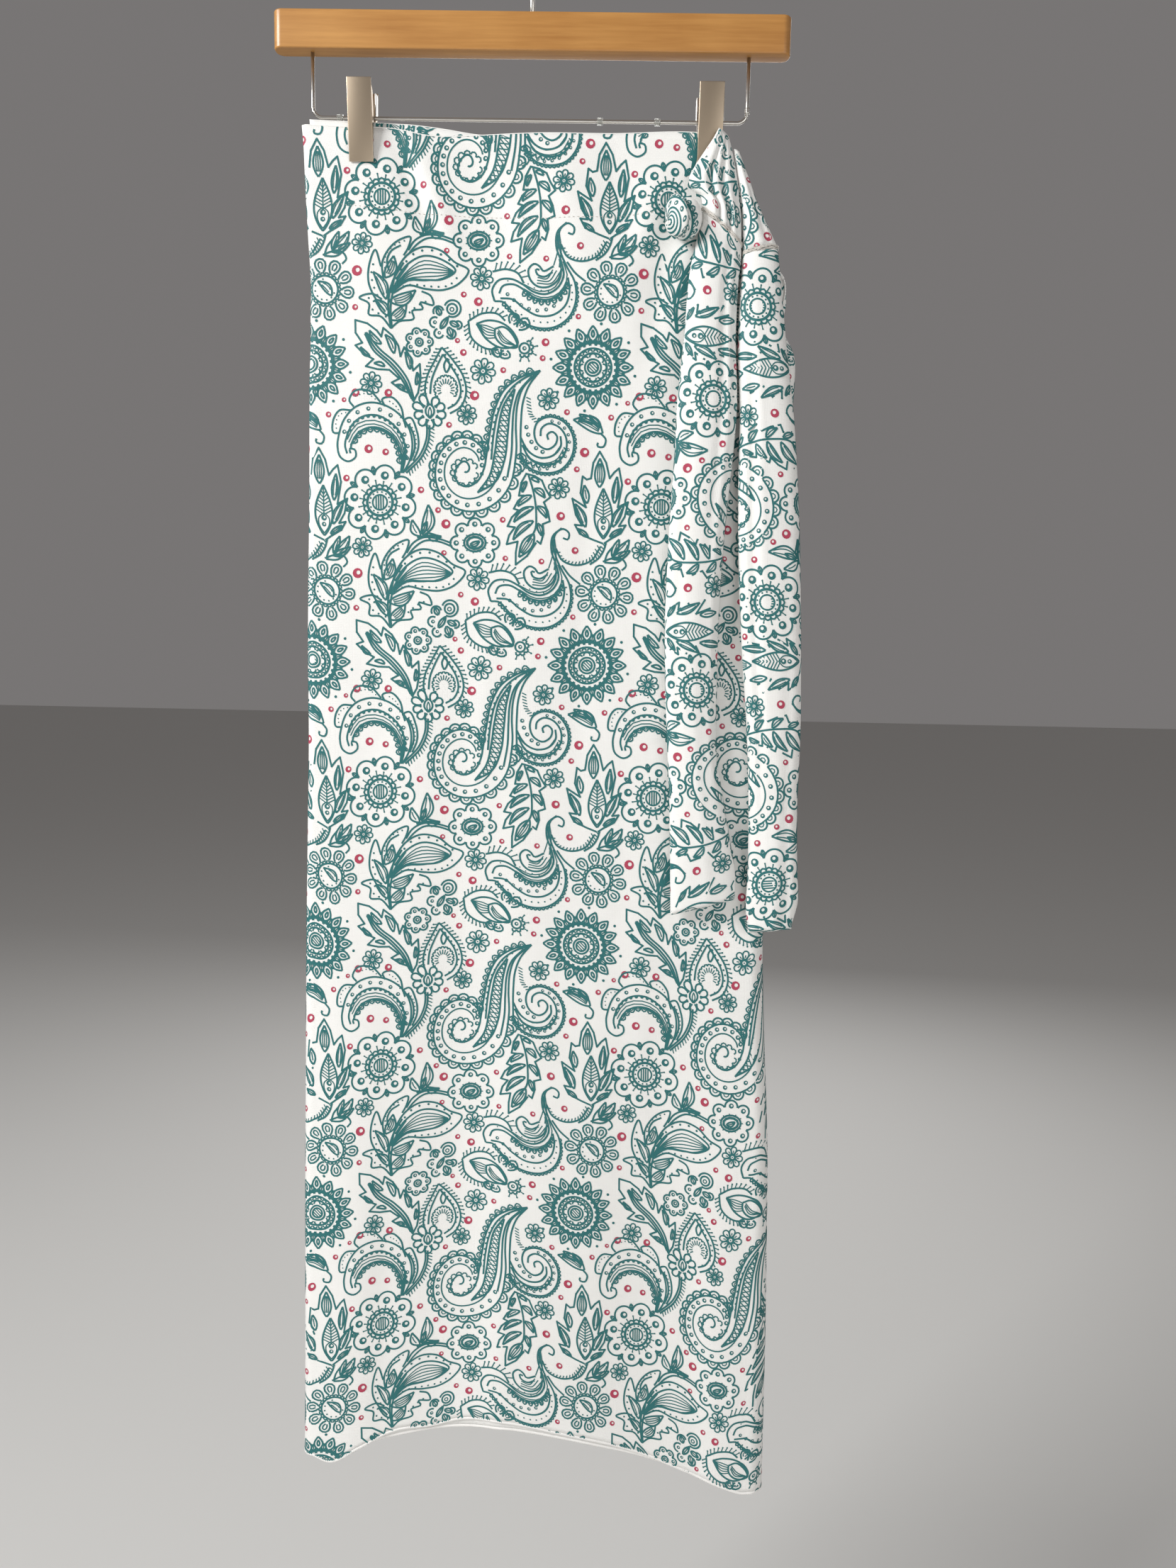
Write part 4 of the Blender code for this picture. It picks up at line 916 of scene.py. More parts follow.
def lacquered_wood(name, light, dark):
    """Lacquered beech, sawn and planed along the grain: honey with long brown streaks."""
    made, tree = new_material(name)
    place = add_node(tree, "TexCoord")
    # grain lines 1 to 3 mm apart and 60 mm long, along X
    along = add_node(tree, "Mapping", {},
                     {"Vector": place.outputs["Object"], "Scale": (14.0, 320.0, 320.0)})
    streaks = add_node(tree, "TexNoise", {},
                       {"Vector": along.outputs["Vector"], "Scale": 1.0, "Detail": 5.0,
                        "Roughness": 0.6})
    clouds = add_node(tree, "TexNoise", {},
                      {"Vector": place.outputs["Object"], "Scale": 14.0, "Detail": 3.0})
    both = add_node(tree, "Math", {"operation": "MULTIPLY_ADD"},
                    {0: clouds.outputs["Fac"], 1: 0.8, 2: streaks.outputs["Fac"]})
    tone = add_node(tree, "MapRange", {},
                    {"Value": both.outputs[0], "From Min": 0.6, "From Max": 1.2})
    colour = add_node(tree, "Mix", {"data_type": "RGBA"},
                      {"Factor": tone.outputs["Result"], "A": (*dark, 1.0), "B": (*light, 1.0)})
    bump = add_node(tree, "Bump", {}, {"Height": streaks.outputs["Fac"],
                                                 "Strength": 0.15, "Distance": 0.0003})
    shader = add_node(tree, "BsdfPrincipled", {},
                      {"Base Color": colour.outputs["Result"], "Roughness": 0.42, "IOR": 1.5,
                       "Coat Weight": 0.35, "Coat Roughness": 0.25,
                       "Normal": bump.outputs["Normal"]})
    add_node(tree, "OutputMaterial", {}, {"Surface": shader.outputs["BSDF"]})
    return made


def clear_plastic(name):
    """Clear PVC sleeve, cut from extruded tube: glossy, slightly cloudy."""
    made, tree = new_material(name)
    shader = add_node(tree, "BsdfPrincipled", {},
                      {"Base Color": (*linear("#E9EAE6"), 1.0), "Roughness": 0.18, "IOR": 1.53,
                       "Transmission Weight": 0.85})
    add_node(tree, "OutputMaterial", {}, {"Surface": shader.outputs["BSDF"]})
    return made


FINISHES = {}


def finish(name):
    """Find or make a finish by its name."""
    if name in FINISHES:
        return FINISHES[name]
    cloth = bpy.context.scene.sarong_cloth
    hanger = bpy.context.scene.sarong_hanger
    if name == "printed_jersey":
        made = jersey(name, tuple(cloth.ground), 0.18)
    elif name == "jersey_wrong_side":
        made = jersey(name, tuple(cloth.wrong_side), 0.1)
    elif name == "teal_ink":
        made = jersey(name, tuple(cloth.ink), 0.1)
    elif name == "rose_ink":
        made = jersey(name, tuple(cloth.accent), 0.1)
    # grey thread of the facing stitches and the ties' seams: partly painted shade, greyer than the
    # white thread to stand for the small shadows beside the stitches
    elif name == "grey_thread_painted_shade":
        made = plain_surface(name, linear("#CFCAC2"), 0.8, grain=0.4, grain_scale=900.0)
    elif name == "overlock_thread":
        made = plain_surface(name, tuple(cloth.thread), 0.8, grain=0.4, grain_scale=900.0)
    elif name == "lacquered_wood":
        made = lacquered_wood(name, tuple(hanger.wood), tuple(hanger.wood_dark))
    elif name == "satin_nickel":
        made = plain_surface(name, tuple(hanger.nickel), 0.42, 1.0, 0.1, 2400.0)
    elif name == "bright_wire":
        made = plain_surface(name, tuple(hanger.steel), 0.3, 1.0, 0.05, 1200.0)
    else:
        made = clear_plastic(name)
    FINISHES[name] = made
    return made


def smooth_strap(table):
    """Rows of a tab or tie at even steps along it."""
    rows = np.array(table, float)
    knots = np.arange(len(rows), dtype=float)
    middle = 0.5 * (rows[:, 0:3] + rows[:, 3:6])
    length = float(np.sum(np.linalg.norm(np.diff(middle, axis=0), axis=1)))
    at = np.linspace(0.0, len(rows) - 1.0, max(6, round(length / STRAP_STEP)))
    return np.stack([smooth_read(knots, rows[:, k], at) for k in range(7)], axis=1)


def strap_points(name):
    """A soft flattened tube of cloth: arched in front, nearly flat where it lies on the skirt."""
    table, closed_end = STRAPS[name][:2]
    rows = smooth_strap(table)
    if closed_end:
        last = rows[-1]
        for drop, flatten in ((1.6, 0.8), (2.8, 0.5), (3.4, 0.18)):
            extra = last.copy()
            extra[[2, 5]] -= drop
            extra[6] = last[6] * flatten
            rows = np.vstack([rows, extra])
    left = rows[:, None, 0:3]
    right = rows[:, None, 3:6]
    arch = rows[:, 6][:, None] + STRAP_SKIN
    middle = 0.5 * (left + right)
    half = 0.5 * (right - left)
    width = np.linalg.norm(half, axis=-1, keepdims=True)
    half = half * (width + STRAP_SKIN) / width
    turn = np.linspace(-np.pi, np.pi, STRAP_COLUMNS + 1)[None, :]
    aside = np.sin(turn)
    front = np.cos(turn)
    forward = arch * np.where(front > 0.0, np.abs(front) ** 0.8, STRAP_BACK * front)
    part = np.linspace(0.0, 1.0, len(rows))[:, None]
    for place, first, stop, half_width, height in STRAP_FOLDS[name]:
        along = np.clip((part - first) / (stop - first), 0.0, 1.0)
        fade = np.sin(np.pi * along) if stop < 1.0 else np.sin(0.5 * np.pi * along)
        shape = np.exp(-((aside - place) / half_width) ** 2) * np.clip(3.0 * front, 0.0, 1.0)
        forward = forward + height * fade * shape
    points = middle + half * aside[..., None]
    points[..., 1] -= forward
    return points


def close_grid(made, columns):
    """Join the first and last column of a tube and close its open ends."""
    work = bmesh.new()
    work.from_mesh(made.data)
    bmesh.ops.remove_doubles(work, verts=work.verts, dist=0.00001)
    open_edges = [e for e in work.edges if e.is_boundary]
    bmesh.ops.holes_fill(work, edges=open_edges, sides=columns + 2)
    bmesh.ops.recalc_face_normals(work, faces=work.faces)
    work.to_mesh(made.data)
    work.free()


def knot_points():
    """The curled bundle, a row for each step from its nose to its root, wound like a snail."""
    polar = np.linspace(0.0, np.pi, 80)[:, None]
    around = np.linspace(-np.pi, np.pi, 121)[None, :]
    phase = np.mod((around - KNOT_START) / (2.0 * np.pi) - KNOT_TURNS * polar / np.pi, 1.0)
    lip = np.where(phase < KNOT_LIP, phase / KNOT_LIP, (1.0 - phase) / (1.0 - KNOT_LIP))
    fade = np.sin(polar) ** 0.6 * np.clip(1.35 - 0.35 * polar, 0.3, 1.0)
    groove = 1.0 + KNOT_GROOVE * fade * (1.5 * lip * lip * (3.0 - 2.0 * lip) - 1.0)
    nose = 1.0 + KNOT_BEAK * np.exp(-(polar / 0.42) ** 2)
    points = np.stack([np.sin(polar) * np.cos(around), np.sin(polar) * np.sin(around),
                       np.cos(polar) * np.ones_like(around)], axis=-1)
    points = points * groove[..., None] * np.stack([np.ones_like(nose), np.ones_like(nose), nose],
                                                   axis=-1)
    turn = np.array(Vector((0, 0, 1)).rotation_difference(Vector(KNOT_NOSE).normalized())
                    .to_matrix())
    return points @ turn.T * np.array(KNOT_RADII) + np.array(KNOT_CENTRE)


def tube_along(name, points, radius, material, sides=8, ribs=0.0, section=(1.0, 1.0)):
    """A tube along points in millimetres, ribbed like thread if asked, its ends closed."""
    points = np.asarray(points, float)
    tangent = np.gradient(points, axis=0)
    tangent /= np.linalg.norm(tangent, axis=1, keepdims=True)
    up = np.tile(np.array([0.0, 0.0, 1.0]), (len(points), 1))
    steep = np.abs(tangent[:, 2]) > 0.9
    up[steep] = (0.0, -1.0, 0.0)
    aside = np.cross(tangent, up)
    aside /= np.linalg.norm(aside, axis=1, keepdims=True)
    up = np.cross(aside, tangent)
    angle = np.linspace(0.0, 2.0 * np.pi, sides, endpoint=False)
    reach = radius * (1.0 - ribs * (np.arange(len(points)) % 2))
    spots = (points[:, None, :]
             + section[0] * reach[:, None, None] * np.cos(angle)[None, :, None] * aside[:, None]
             + section[1] * reach[:, None, None] * np.sin(angle)[None, :, None] * up[:, None])
    index = np.arange(len(points) * sides).reshape(len(points), sides)
    turned = np.roll(index, -1, axis=1)
    faces = np.stack([index[:-1], turned[:-1], turned[1:], index[1:]], axis=-1).reshape(-1, 4)
    faces = faces.tolist() + [index[0][::-1].tolist(), index[-1].tolist()]
    made = new_piece(name, spots.reshape(-1, 3), faces, material)
    select_only(made)
    bpy.ops.object.mode_set(mode="EDIT")
    bpy.ops.mesh.select_all(action="SELECT")
    bpy.ops.mesh.normals_make_consistent(inside=False)
    bpy.ops.object.mode_set(mode="OBJECT")
    return made


def cube(name, size, place=(0.0, 0.0, 0.0)):
    """A cube scaled to a size at a place, both in millimetres."""
    select_only()
    bpy.ops.mesh.primitive_cube_add(size=1.0, location=Vector(place) * MM,
                                    scale=Vector(size) * MM)
    made = bpy.context.object
    made.name = name
    bpy.ops.object.transform_apply(location=True, rotation=True, scale=True)
    return made


def ease(made, width, segments, limit=30.0):
    """Round an object's edges that turn by more than a limit in degrees."""
    rounded = made.modifiers.new("Eased edges", "BEVEL")
    rounded.width = width * MM
    rounded.segments = segments
    rounded.limit_method = "ANGLE"
    rounded.angle_limit = math.radians(limit)
    apply_modifiers(made)


def finish_hard(made, angle, material):
    """Shade a hard piece smooth up to an angle in degrees and give it its material."""
    bpy.ops.object.shade_smooth_by_angle(angle=math.radians(angle))
    made.data.materials.append(finish(material))


def sleeve(name, place):
    """A short length of clear tube on the rod, its two ends cut square."""
    select_only()
    bpy.ops.mesh.primitive_cylinder_add(vertices=32, radius=SLEEVE_OUTSIDE * MM,
                                        depth=STOP_RING_LENGTH * MM, end_fill_type="NOTHING",
                                        rotation=(0.0, 0.5 * math.pi, 0.0),
                                        location=(place * MM, 0.0, WIRE_LEVEL * MM))
    made = bpy.context.object
    made.name = name
    bpy.ops.object.transform_apply(location=True, rotation=True, scale=True)
    wall = made.modifiers.new("Wall", "SOLIDIFY")
    wall.thickness = SLEEVE_WALL * MM
    wall.offset = -1.0
    ease(made, CUT_EDGE, 2)
    finish_hard(made, 40.0, "clear_plastic")
    return made


def stitch_row(name, ground):
    """The facing's row of stitches in the cloth: short threads, thickest in the middle."""
    flat = even_points([(x, -z, 0.0) for x, z in FACING_LINE], 0.5 * STITCH_PITCH)[:, :2]
    ends = flat[:-1:2]
    run = flat[1::2][:len(ends)] - ends[:len(flat[1::2])]
    run /= np.linalg.norm(run, axis=1, keepdims=True)
    side = np.stack([-run[:, 1], run[:, 0]], axis=1)
    spots, faces = [], []
    for along, aside, lift in STITCH_FORM:
        at = ends + along * STITCH * run + aside * side
        row, held, _ = ground.read(at)
        spots.append(ground.lifted(row, held, np.full(len(at), lift)))
    count = len(ends)
    for i in range(count):
        a, b, c, d, e = (i + k * count for k in range(5))
        faces += [(a, b, c), (a, c, d), (e, c, b), (e, d, c), (a, d, b), (e, b, d)]
    # the stitches take the grey thread, a painted shade of their small shadows
    return new_piece(name, np.concatenate(spots), faces, finish("grey_thread_painted_shade"), smooth=False)


def seam_points(side):
    """The line on the front where a tab meets its tie, over the arch of both."""
    span = slice(STRAP_COLUMNS // 4 - 1, -(STRAP_COLUMNS // 4) + 1)
    return 0.5 * (strap_points("tab_" + side)[-1] + strap_points("tie_" + side)[0])[span]


def ragged(points, reach, seed):
    """Points moved a little to and fro, the same way each time."""
    draw = np.random.default_rng(seed)
    return points + draw.uniform(-reach, reach, points.shape) * np.array((0.6, 0.3, 1.0))


def join_pieces(name, pieces):
    """Join several objects into one."""
    select_only(*pieces)
    bpy.ops.object.join()
    pieces[0].name = name
    return pieces[0]


def even_points(points, step):
    """Points at even steps along a line of points."""
    points = np.asarray(points, float)
    along = np.concatenate([[0.0], np.cumsum(np.linalg.norm(np.diff(points, axis=0), axis=1))])
    count = max(2, int(along[-1] / step))
    at = np.linspace(0.0, along[-1], count)
    return np.stack([np.interp(at, along, points[:, k]) for k in range(3)], axis=1)


def round_spots(x, y, width, height, count):
    """Spots at even turns round an ellipse."""
    turns = np.linspace(0.0, 2.0 * np.pi, count, endpoint=False)
    return np.stack([x + width * np.cos(turns), y + height * np.sin(turns)], axis=1)


def around(x, y, turn, reach, down=None):
    """The spot at an angle in degrees round a place, on a circle or an ellipse."""
    angle = math.radians(turn)
    return np.array((x + reach * math.cos(angle), y + (down or reach) * math.sin(angle)))


class Ink:
    """Collects the strokes of a drawing as flat faces, in chart units."""

    def __init__(self):
        self.spots = []
        self.lifts = []
        self.faces = []
        self.tints = []
        self.count = 0

    def add(self, spots, faces, tint=INK):
        """Add faces on new spots."""
        self.spots.append(np.asarray(spots, float))
        # each stroke a hair above the next, so that no two faces share a plane
        self.lifts.append(np.full(len(spots), FILM_SPREAD * ((len(self.lifts) * 0.618) % 1.0)))
        self.faces += [[i + self.count for i in face] for face in faces]
        self.tints += [tint] * len(faces)
        self.count += len(spots)

    def drawn(self, centre=(0.0, 0.0), turn=0.0):
        """The drawing in millimetres from a centre: spots, lifts, the faces' corners and tints."""
        spots = np.concatenate(self.spots)
        spots = np.stack([spots[:, 0] + turn * spots[:, 1], spots[:, 1] - turn * spots[:, 0]], 1)
        return {
            "spots": (spots - np.array(centre)) * UNIT,
            "lifts": np.concatenate(self.lifts),
            "corners": np.concatenate([np.array(face) for face in self.faces]),
            "sizes": np.array([len(face) for face in self.faces]),
            "tints": np.array(self.tints),
        }

    def line(self, points, width=OUTLINE, closed=False):
        """A stroke along points, as wide all the way."""
        points = np.asarray(points, float)
        if closed:
            before = np.roll(points, 1, axis=0)
            after = np.roll(points, -1, axis=0)
            run = after - before
        else:
            run = np.gradient(points, axis=0)
        run /= np.linalg.norm(run, axis=1, keepdims=True) + 1e-9
        side = np.stack([-run[:, 1], run[:, 0]], axis=1) * 0.5 * width
        spots = np.concatenate([points + side, points - side])
        count = len(points)
        faces = [(i, i + 1, count + i + 1, count + i) for i in range(count - 1)]
        if closed:
            faces.append((count - 1, 0, count, 2 * count - 1))
        self.add(spots, faces)

    def curve(self, points, width=OUTLINE):
        """A smooth stroke through points."""
        self.line(smooth_line(points), width)

    def arc(self, x, y, radius, start=0.0, end=360.0, width=OUTLINE):
        """A stroke on a circle, from one angle to another in degrees."""
        whole = abs(end - start) >= 359.9
        length = math.radians(abs(end - start)) * radius
        steps = max(4 if not whole else 8, round(length / STROKE_STEP) + 1)
        angles = np.radians(np.linspace(start, end, steps, endpoint=not whole))
        self.line(np.stack([x + radius * np.cos(angles), y + radius * np.sin(angles)], axis=1),
                  width, closed=whole)

    def dot(self, x, y, radius, sides=6):
        """A filled dot."""
        self.add(round_spots(x, y, radius, radius, sides), [tuple(range(sides))])

    def eye(self, x, y, radius, tint=INK, sides=10):
        """A thick ring with a small bare spot a little up to the right."""
        outer = round_spots(x, y, radius, radius, sides)
        inner = round_spots(x + 0.16 * radius, y - 0.12 * radius, 0.42 * radius, 0.42 * radius,
                            sides)
        faces = [(i, (i + 1) % sides, sides + (i + 1) % sides, sides + i) for i in range(sides)]
        self.add(np.concatenate([outer, inner]), faces, tint)


def smooth_line(points, count=None):
    """Points at even steps on a smooth line through a few, given as x, y, x, y."""
    points = np.reshape(np.asarray(points, float), (-1, 2))
    along = np.concatenate([[0.0], np.cumsum(np.linalg.norm(np.diff(points, axis=0), axis=1))])
    at = np.linspace(0.0, along[-1], count or max(3, round(along[-1] / STROKE_STEP) + 1))
    return np.stack([smooth_read(along, points[:, 0], at),
                     smooth_read(along, points[:, 1], at)], axis=1)


def leaf(ink, base, tip, half, bow=0.0, strokes=3, width=OUTLINE):
    """A pointed leaf with lengthwise strokes inside."""
    base = np.array(base, float)
    axis = np.array(tip, float) - base
    side = np.array((-axis[1], axis[0])) / np.linalg.norm(axis)
    steps = max(6, round(np.linalg.norm(axis) / STROKE_STEP) + 1)
    t = np.linspace(0.0, 1.0, steps)
    bent = bow * np.linalg.norm(axis) * np.sin(np.pi * t)
    middle = base + t[:, None] * axis + bent[:, None] * side
    swell = half * np.sin(np.pi * t ** 0.85)
    ink.line(middle + swell[:, None] * side, width)
    ink.line(middle - swell[:, None] * side, width)
    # no more inner strokes than leave bare cloth between them
    strokes = min(strokes, int(0.2 + (2.0 * half - width) / (2.1 * FINE)))
    inner = slice(1, -1) if steps < 9 else slice(2, -2)
    for share in np.linspace(-0.45, 0.45, strokes) if strokes > 1 else [0.0] * strokes:
        ink.line((middle + share * swell[:, None] * side)[inner], FINE)


def petals(ink, x, y, count, base, tip, half, turn=0.0, strokes=0, width=OUTLINE):
    """Pointed petals all round a place."""
    for i in range(count):
        way = turn + 360.0 * i / count
        leaf(ink, around(x, y, way, base), around(x, y, way, tip), half, 0.0, strokes, width)


def fan_petal(ink, x, y, turn, base, tip, half, width=OUTLINE):
    """One round-ended petal that points away from a place."""
    run = around(0.0, 0.0, turn, 1.0)
    side = np.array((-run[1], run[0]))
    t = np.linspace(-0.86 * np.pi, 0.86 * np.pi, 11)
    reach = base + (tip - base) * (0.5 + 0.5 * np.cos(t))
    aside = half * np.sin(t) * (1.0 - 0.25 * np.cos(t + np.pi))
    ink.line(np.array((x, y)) + reach[:, None] * run + aside[:, None] * side, width)


def loops(ink, x, y, count, base, tip, half, turn=0.0, width=OUTLINE):
    """Round-ended petals all round a place."""
    for i in range(count):
        fan_petal(ink, x, y, turn + 360.0 * i / count, base, tip, half, width)


def row_on_line(ink, kind, points, count, size, side):
    """Repeat ticks, pins, dots, rings or loops on a line."""
    line = smooth_line(points, count=4 * count + 1)
    run = np.gradient(line, axis=0)
    run /= np.linalg.norm(run, axis=1, keepdims=True)
    left = np.stack([run[:, 1], -run[:, 0]], axis=1)
    if kind == "loops":
        for i in range(count):
            a = line[4 * i]
            b = line[min(4 * i + 4, len(line) - 1)]
            out = left[4 * i + 2] * side * size
            t = np.linspace(0.0, 1.0, 5)[:, None]
            ink.line(a + (b - a) * t + out * np.sin(np.pi * t) ** 0.7, 0.85 * OUTLINE)
            if size > 20:
                t = np.linspace(0.2, 0.8, 4)[:, None]
                ink.line(a + (b - a) * t + 0.5 * out * np.sin(np.pi * (t - 0.2) / 0.6), FINE)
        return
    for i in range(count):
        spot = line[4 * i + 2]
        if kind == "dots":
            ink.dot(*spot, size, 5)
        elif kind == "rings":
            ink.eye(*spot, 1.25 * size, sides=8)
        else:
            tip = spot + left[4 * i + 2] * -size + run[4 * i + 2] * abs(size) * 0.5
            ink.line([spot, tip], FINE)
            if kind == "pins":
                ink.dot(*tip, 5.5, 5)


def scallops(ink, x, y, count, place, size, width=0.85 * OUTLINE):
    """Small arcs all round a place, open towards it."""
    for i in range(count):
        turn = 360.0 * i / count
        ink.arc(*around(x, y, turn, place), size, turn - 95.0, turn + 95.0, width)


def rosette(ink, x, y, radius):
    """Eight round petals with eyes, round a scalloped and striped core."""
    for i in range(8):
        turn = -78.0 + 45.0 * i
        gap = turn + 22.5
        ink.arc(*around(x, y, turn, 0.73 * radius), 0.29 * radius, turn - 96.0, turn + 96.0)
        ink.eye(*around(x, y, turn, 0.74 * radius), 0.115 * radius)
        leaf(ink, around(x, y, gap, 0.84 * radius), around(x, y, gap, radius), 0.05 * radius, 0.0,
             1, 0.8 * OUTLINE)
        for part in (0.0, 22.5):
            far = around(x, y, turn + part, (0.57 + 0.0016 * part) * radius)
            ink.line([around(x, y, turn + part, 0.47 * radius), far], FINE)
            ink.dot(*far, 5.0, 5)
    scallops(ink, x, y, 16, 0.4 * radius, 0.085 * radius, OUTLINE)
    ink.arc(x, y, 0.36 * radius, width=HEAVY)
    for i in range(14):
        ink.dot(*around(x, y, 360.0 * i / 14, 0.285 * radius), 5.5, 5)
    ink.arc(x, y, 0.205 * radius, width=0.9 * OUTLINE)
    for share in (-0.55, -0.2, 0.15, 0.5):
        reach = 0.19 * radius * math.sqrt(1.0 - share * share)
        ink.line([(x + share * 0.19 * radius, y - reach), (x + share * 0.19 * radius, y + reach)],
                 1.2 * FINE)


def small_flower(ink, x, y, radius):
    """Eight little petals round a ring."""
    loops(ink, x, y, 8, 0.3 * radius, radius, 0.25 * radius, 10.0, 0.8 * OUTLINE)
    for i in range(8):
        turn = 10.0 + 45.0 * i
        ink.line([around(x, y, turn, 0.44 * radius), around(x, y, turn, 0.66 * radius)], FINE)
    ink.arc(x, y, 0.27 * radius, width=HEAVY)
    ink.dot(x, y, 0.07 * radius)


def sun(ink, x, y, radius):
    """Sixteen pointed rays round scalloped rings and a striped core."""
    petals(ink, x, y, 16, 0.62 * radius, radius, 0.115 * radius)
    petals(ink, x, y, 16, 0.72 * radius, 0.9 * radius, 0.035 * radius, 0.0, 1, 0.9 * OUTLINE)
    petals(ink, x, y, 16, 0.6 * radius, 0.8 * radius, 0.06 * radius, 11.25, 2)
    for i in range(8):
        ink.dot(*around(x, y, 45.0 * i + 11.25, 1.06 * radius), 8.0)
    ink.arc(x, y, 0.6 * radius, width=HEAVY)
    for count, place, size in ((24, 0.53, 0.065), (18, 0.38, 0.055), (8, 0.25, 0.085)):
        scallops(ink, x, y, count, place * radius, size * radius)
    for place in (0.46, 0.345, 0.2, 0.13):
        ink.arc(x, y, place * radius)
    for share in (-0.5, 0.0, 0.5):
        reach = 0.12 * radius * math.sqrt(1.0 - share * share)
        middle = np.array((x, y)) + 0.12 * radius * share * np.array((0.7, -0.7))
        run = reach * np.array((0.7, 0.7))
        ink.line([middle - run, middle + run], FINE)


def daisy(ink, x, y, radius):
    """Ten looped petals round a scalloped ring that holds a drop."""
    loops(ink, x, y, 10, 0.54 * radius, radius, 0.18 * radius, 8.0)
    loops(ink, x, y, 10, 0.66 * radius, 0.9 * radius, 0.07 * radius, 8.0, 0.8 * OUTLINE)
    scallops(ink, x, y, 22, 0.48 * radius, 0.07 * radius)
    ink.arc(x, y, 0.45 * radius)
    leaf(ink, (x + 0.24 * radius, y + 0.2 * radius), (x - 0.24 * radius, y - 0.26 * radius),
         0.13 * radius, 0.12, 2)
    for i in range(9):
        ink.dot(*around(x, y, 20.0 + 30.0 * i, 0.34 * radius), 5.0, 5)


def oval_flower(ink, x, y, radius):
    """Eight round petals with rings round a ticked oval that holds a drop."""
    for i in range(8):
        turn = -90.0 + 45.0 * i
        ink.arc(*around(x, y, turn, 0.76 * radius, 0.74 * radius), 0.29 * radius, turn - 98.0,
                turn + 98.0)
        ink.eye(*around(x, y, turn, 0.8 * radius, 0.78 * radius), 0.115 * radius)
    oval = round_spots(x, y, 0.46 * radius, 0.36 * radius, 22)
    ink.line(oval, 1.1 * OUTLINE, closed=True)
    ink.line(round_spots(x, y, 0.34 * radius, 0.25 * radius, 22)[::2], HEAVY, closed=True)
    for spot in oval[::2]:
        ink.line([spot, spot + 0.22 * (spot - (x, y))], FINE)
    leaf(ink, (x - 0.2 * radius, y + 0.08 * radius), (x + 0.2 * radius, y - 0.07 * radius),
         0.1 * radius, 0.1, 1)


def round_flower(ink, x, y, radius):
    """Seven round petals with rings round an eye."""
    for i in range(7):
        turn = -105.0 + 360.0 / 7 * i
        ink.arc(*around(x, y, turn, 0.68 * radius), 0.31 * radius, turn - 104.0, turn + 104.0)
        ink.eye(*around(x, y, turn, 0.7 * radius), 0.15 * radius, sides=8)
    ink.arc(x, y, 0.27 * radius)
    ink.eye(x, y, 0.16 * radius, sides=8)


def spiral(ink):
    """The long paisley's coil: two lines that wind in, rings between them and loops outside."""
    x, y = COIL_CENTRE
    knots = np.arange(len(COIL_RADII)) * 45.0

    def spot(turn, share=1.0):
        reach = share * smooth_read(knots, COIL_RADII, turn)
        return np.stack([x + reach * np.cos(np.radians(turn)),
                         y + reach * np.sin(np.radians(turn))], axis=-1)

    ink.line(spot(np.linspace(0.0, 810.0, 92)))
    ink.line(spot(np.linspace(2.0, 330.0, 44), 0.69), 0.8 * OUTLINE)
    for turn in np.linspace(12.0, 345.0, 19):
        ink.eye(*spot(turn, 0.845), 12.5, sides=9)
    for turn in np.linspace(375.0, 560.0, 7):
        ink.eye(*spot(turn, 1.0) + np.array((0.0, -4.0)), 10.0, sides=8)
    for turn in np.linspace(-2.0, 310.0, 19):
        cx, cy = spot(max(turn, 0.0), 1.02)
        ink.arc(cx, cy, 31.0, turn - 100.0, turn + 100.0)
        ink.arc(cx, cy, 14.0, turn - 100.0, turn + 100.0, FINE)
    for turn in np.linspace(20.0, 330.0, 11):
        ink.arc(*around(x, y + 8.0, turn, 60.0, 56.0), 15.0, turn - 100.0, turn + 100.0,
                0.8 * OUTLINE)


def lattice(ink):
    """Crossed strokes inside the long paisley's lens."""
    left = smooth_line((896, 496, 958, 412, 986, 300, 1004, 180, 1034, 60, 1090, -24), 23)
    right = smooth_line((896, 496, 990, 440, 1036, 335, 1054, 200, 1066, 90, 1092, -20), 23)
    for i in range(1, 21):
        ink.line([left[i], right[i + 1]], FINE)
        ink.line([right[i], left[i + 1]], FINE)


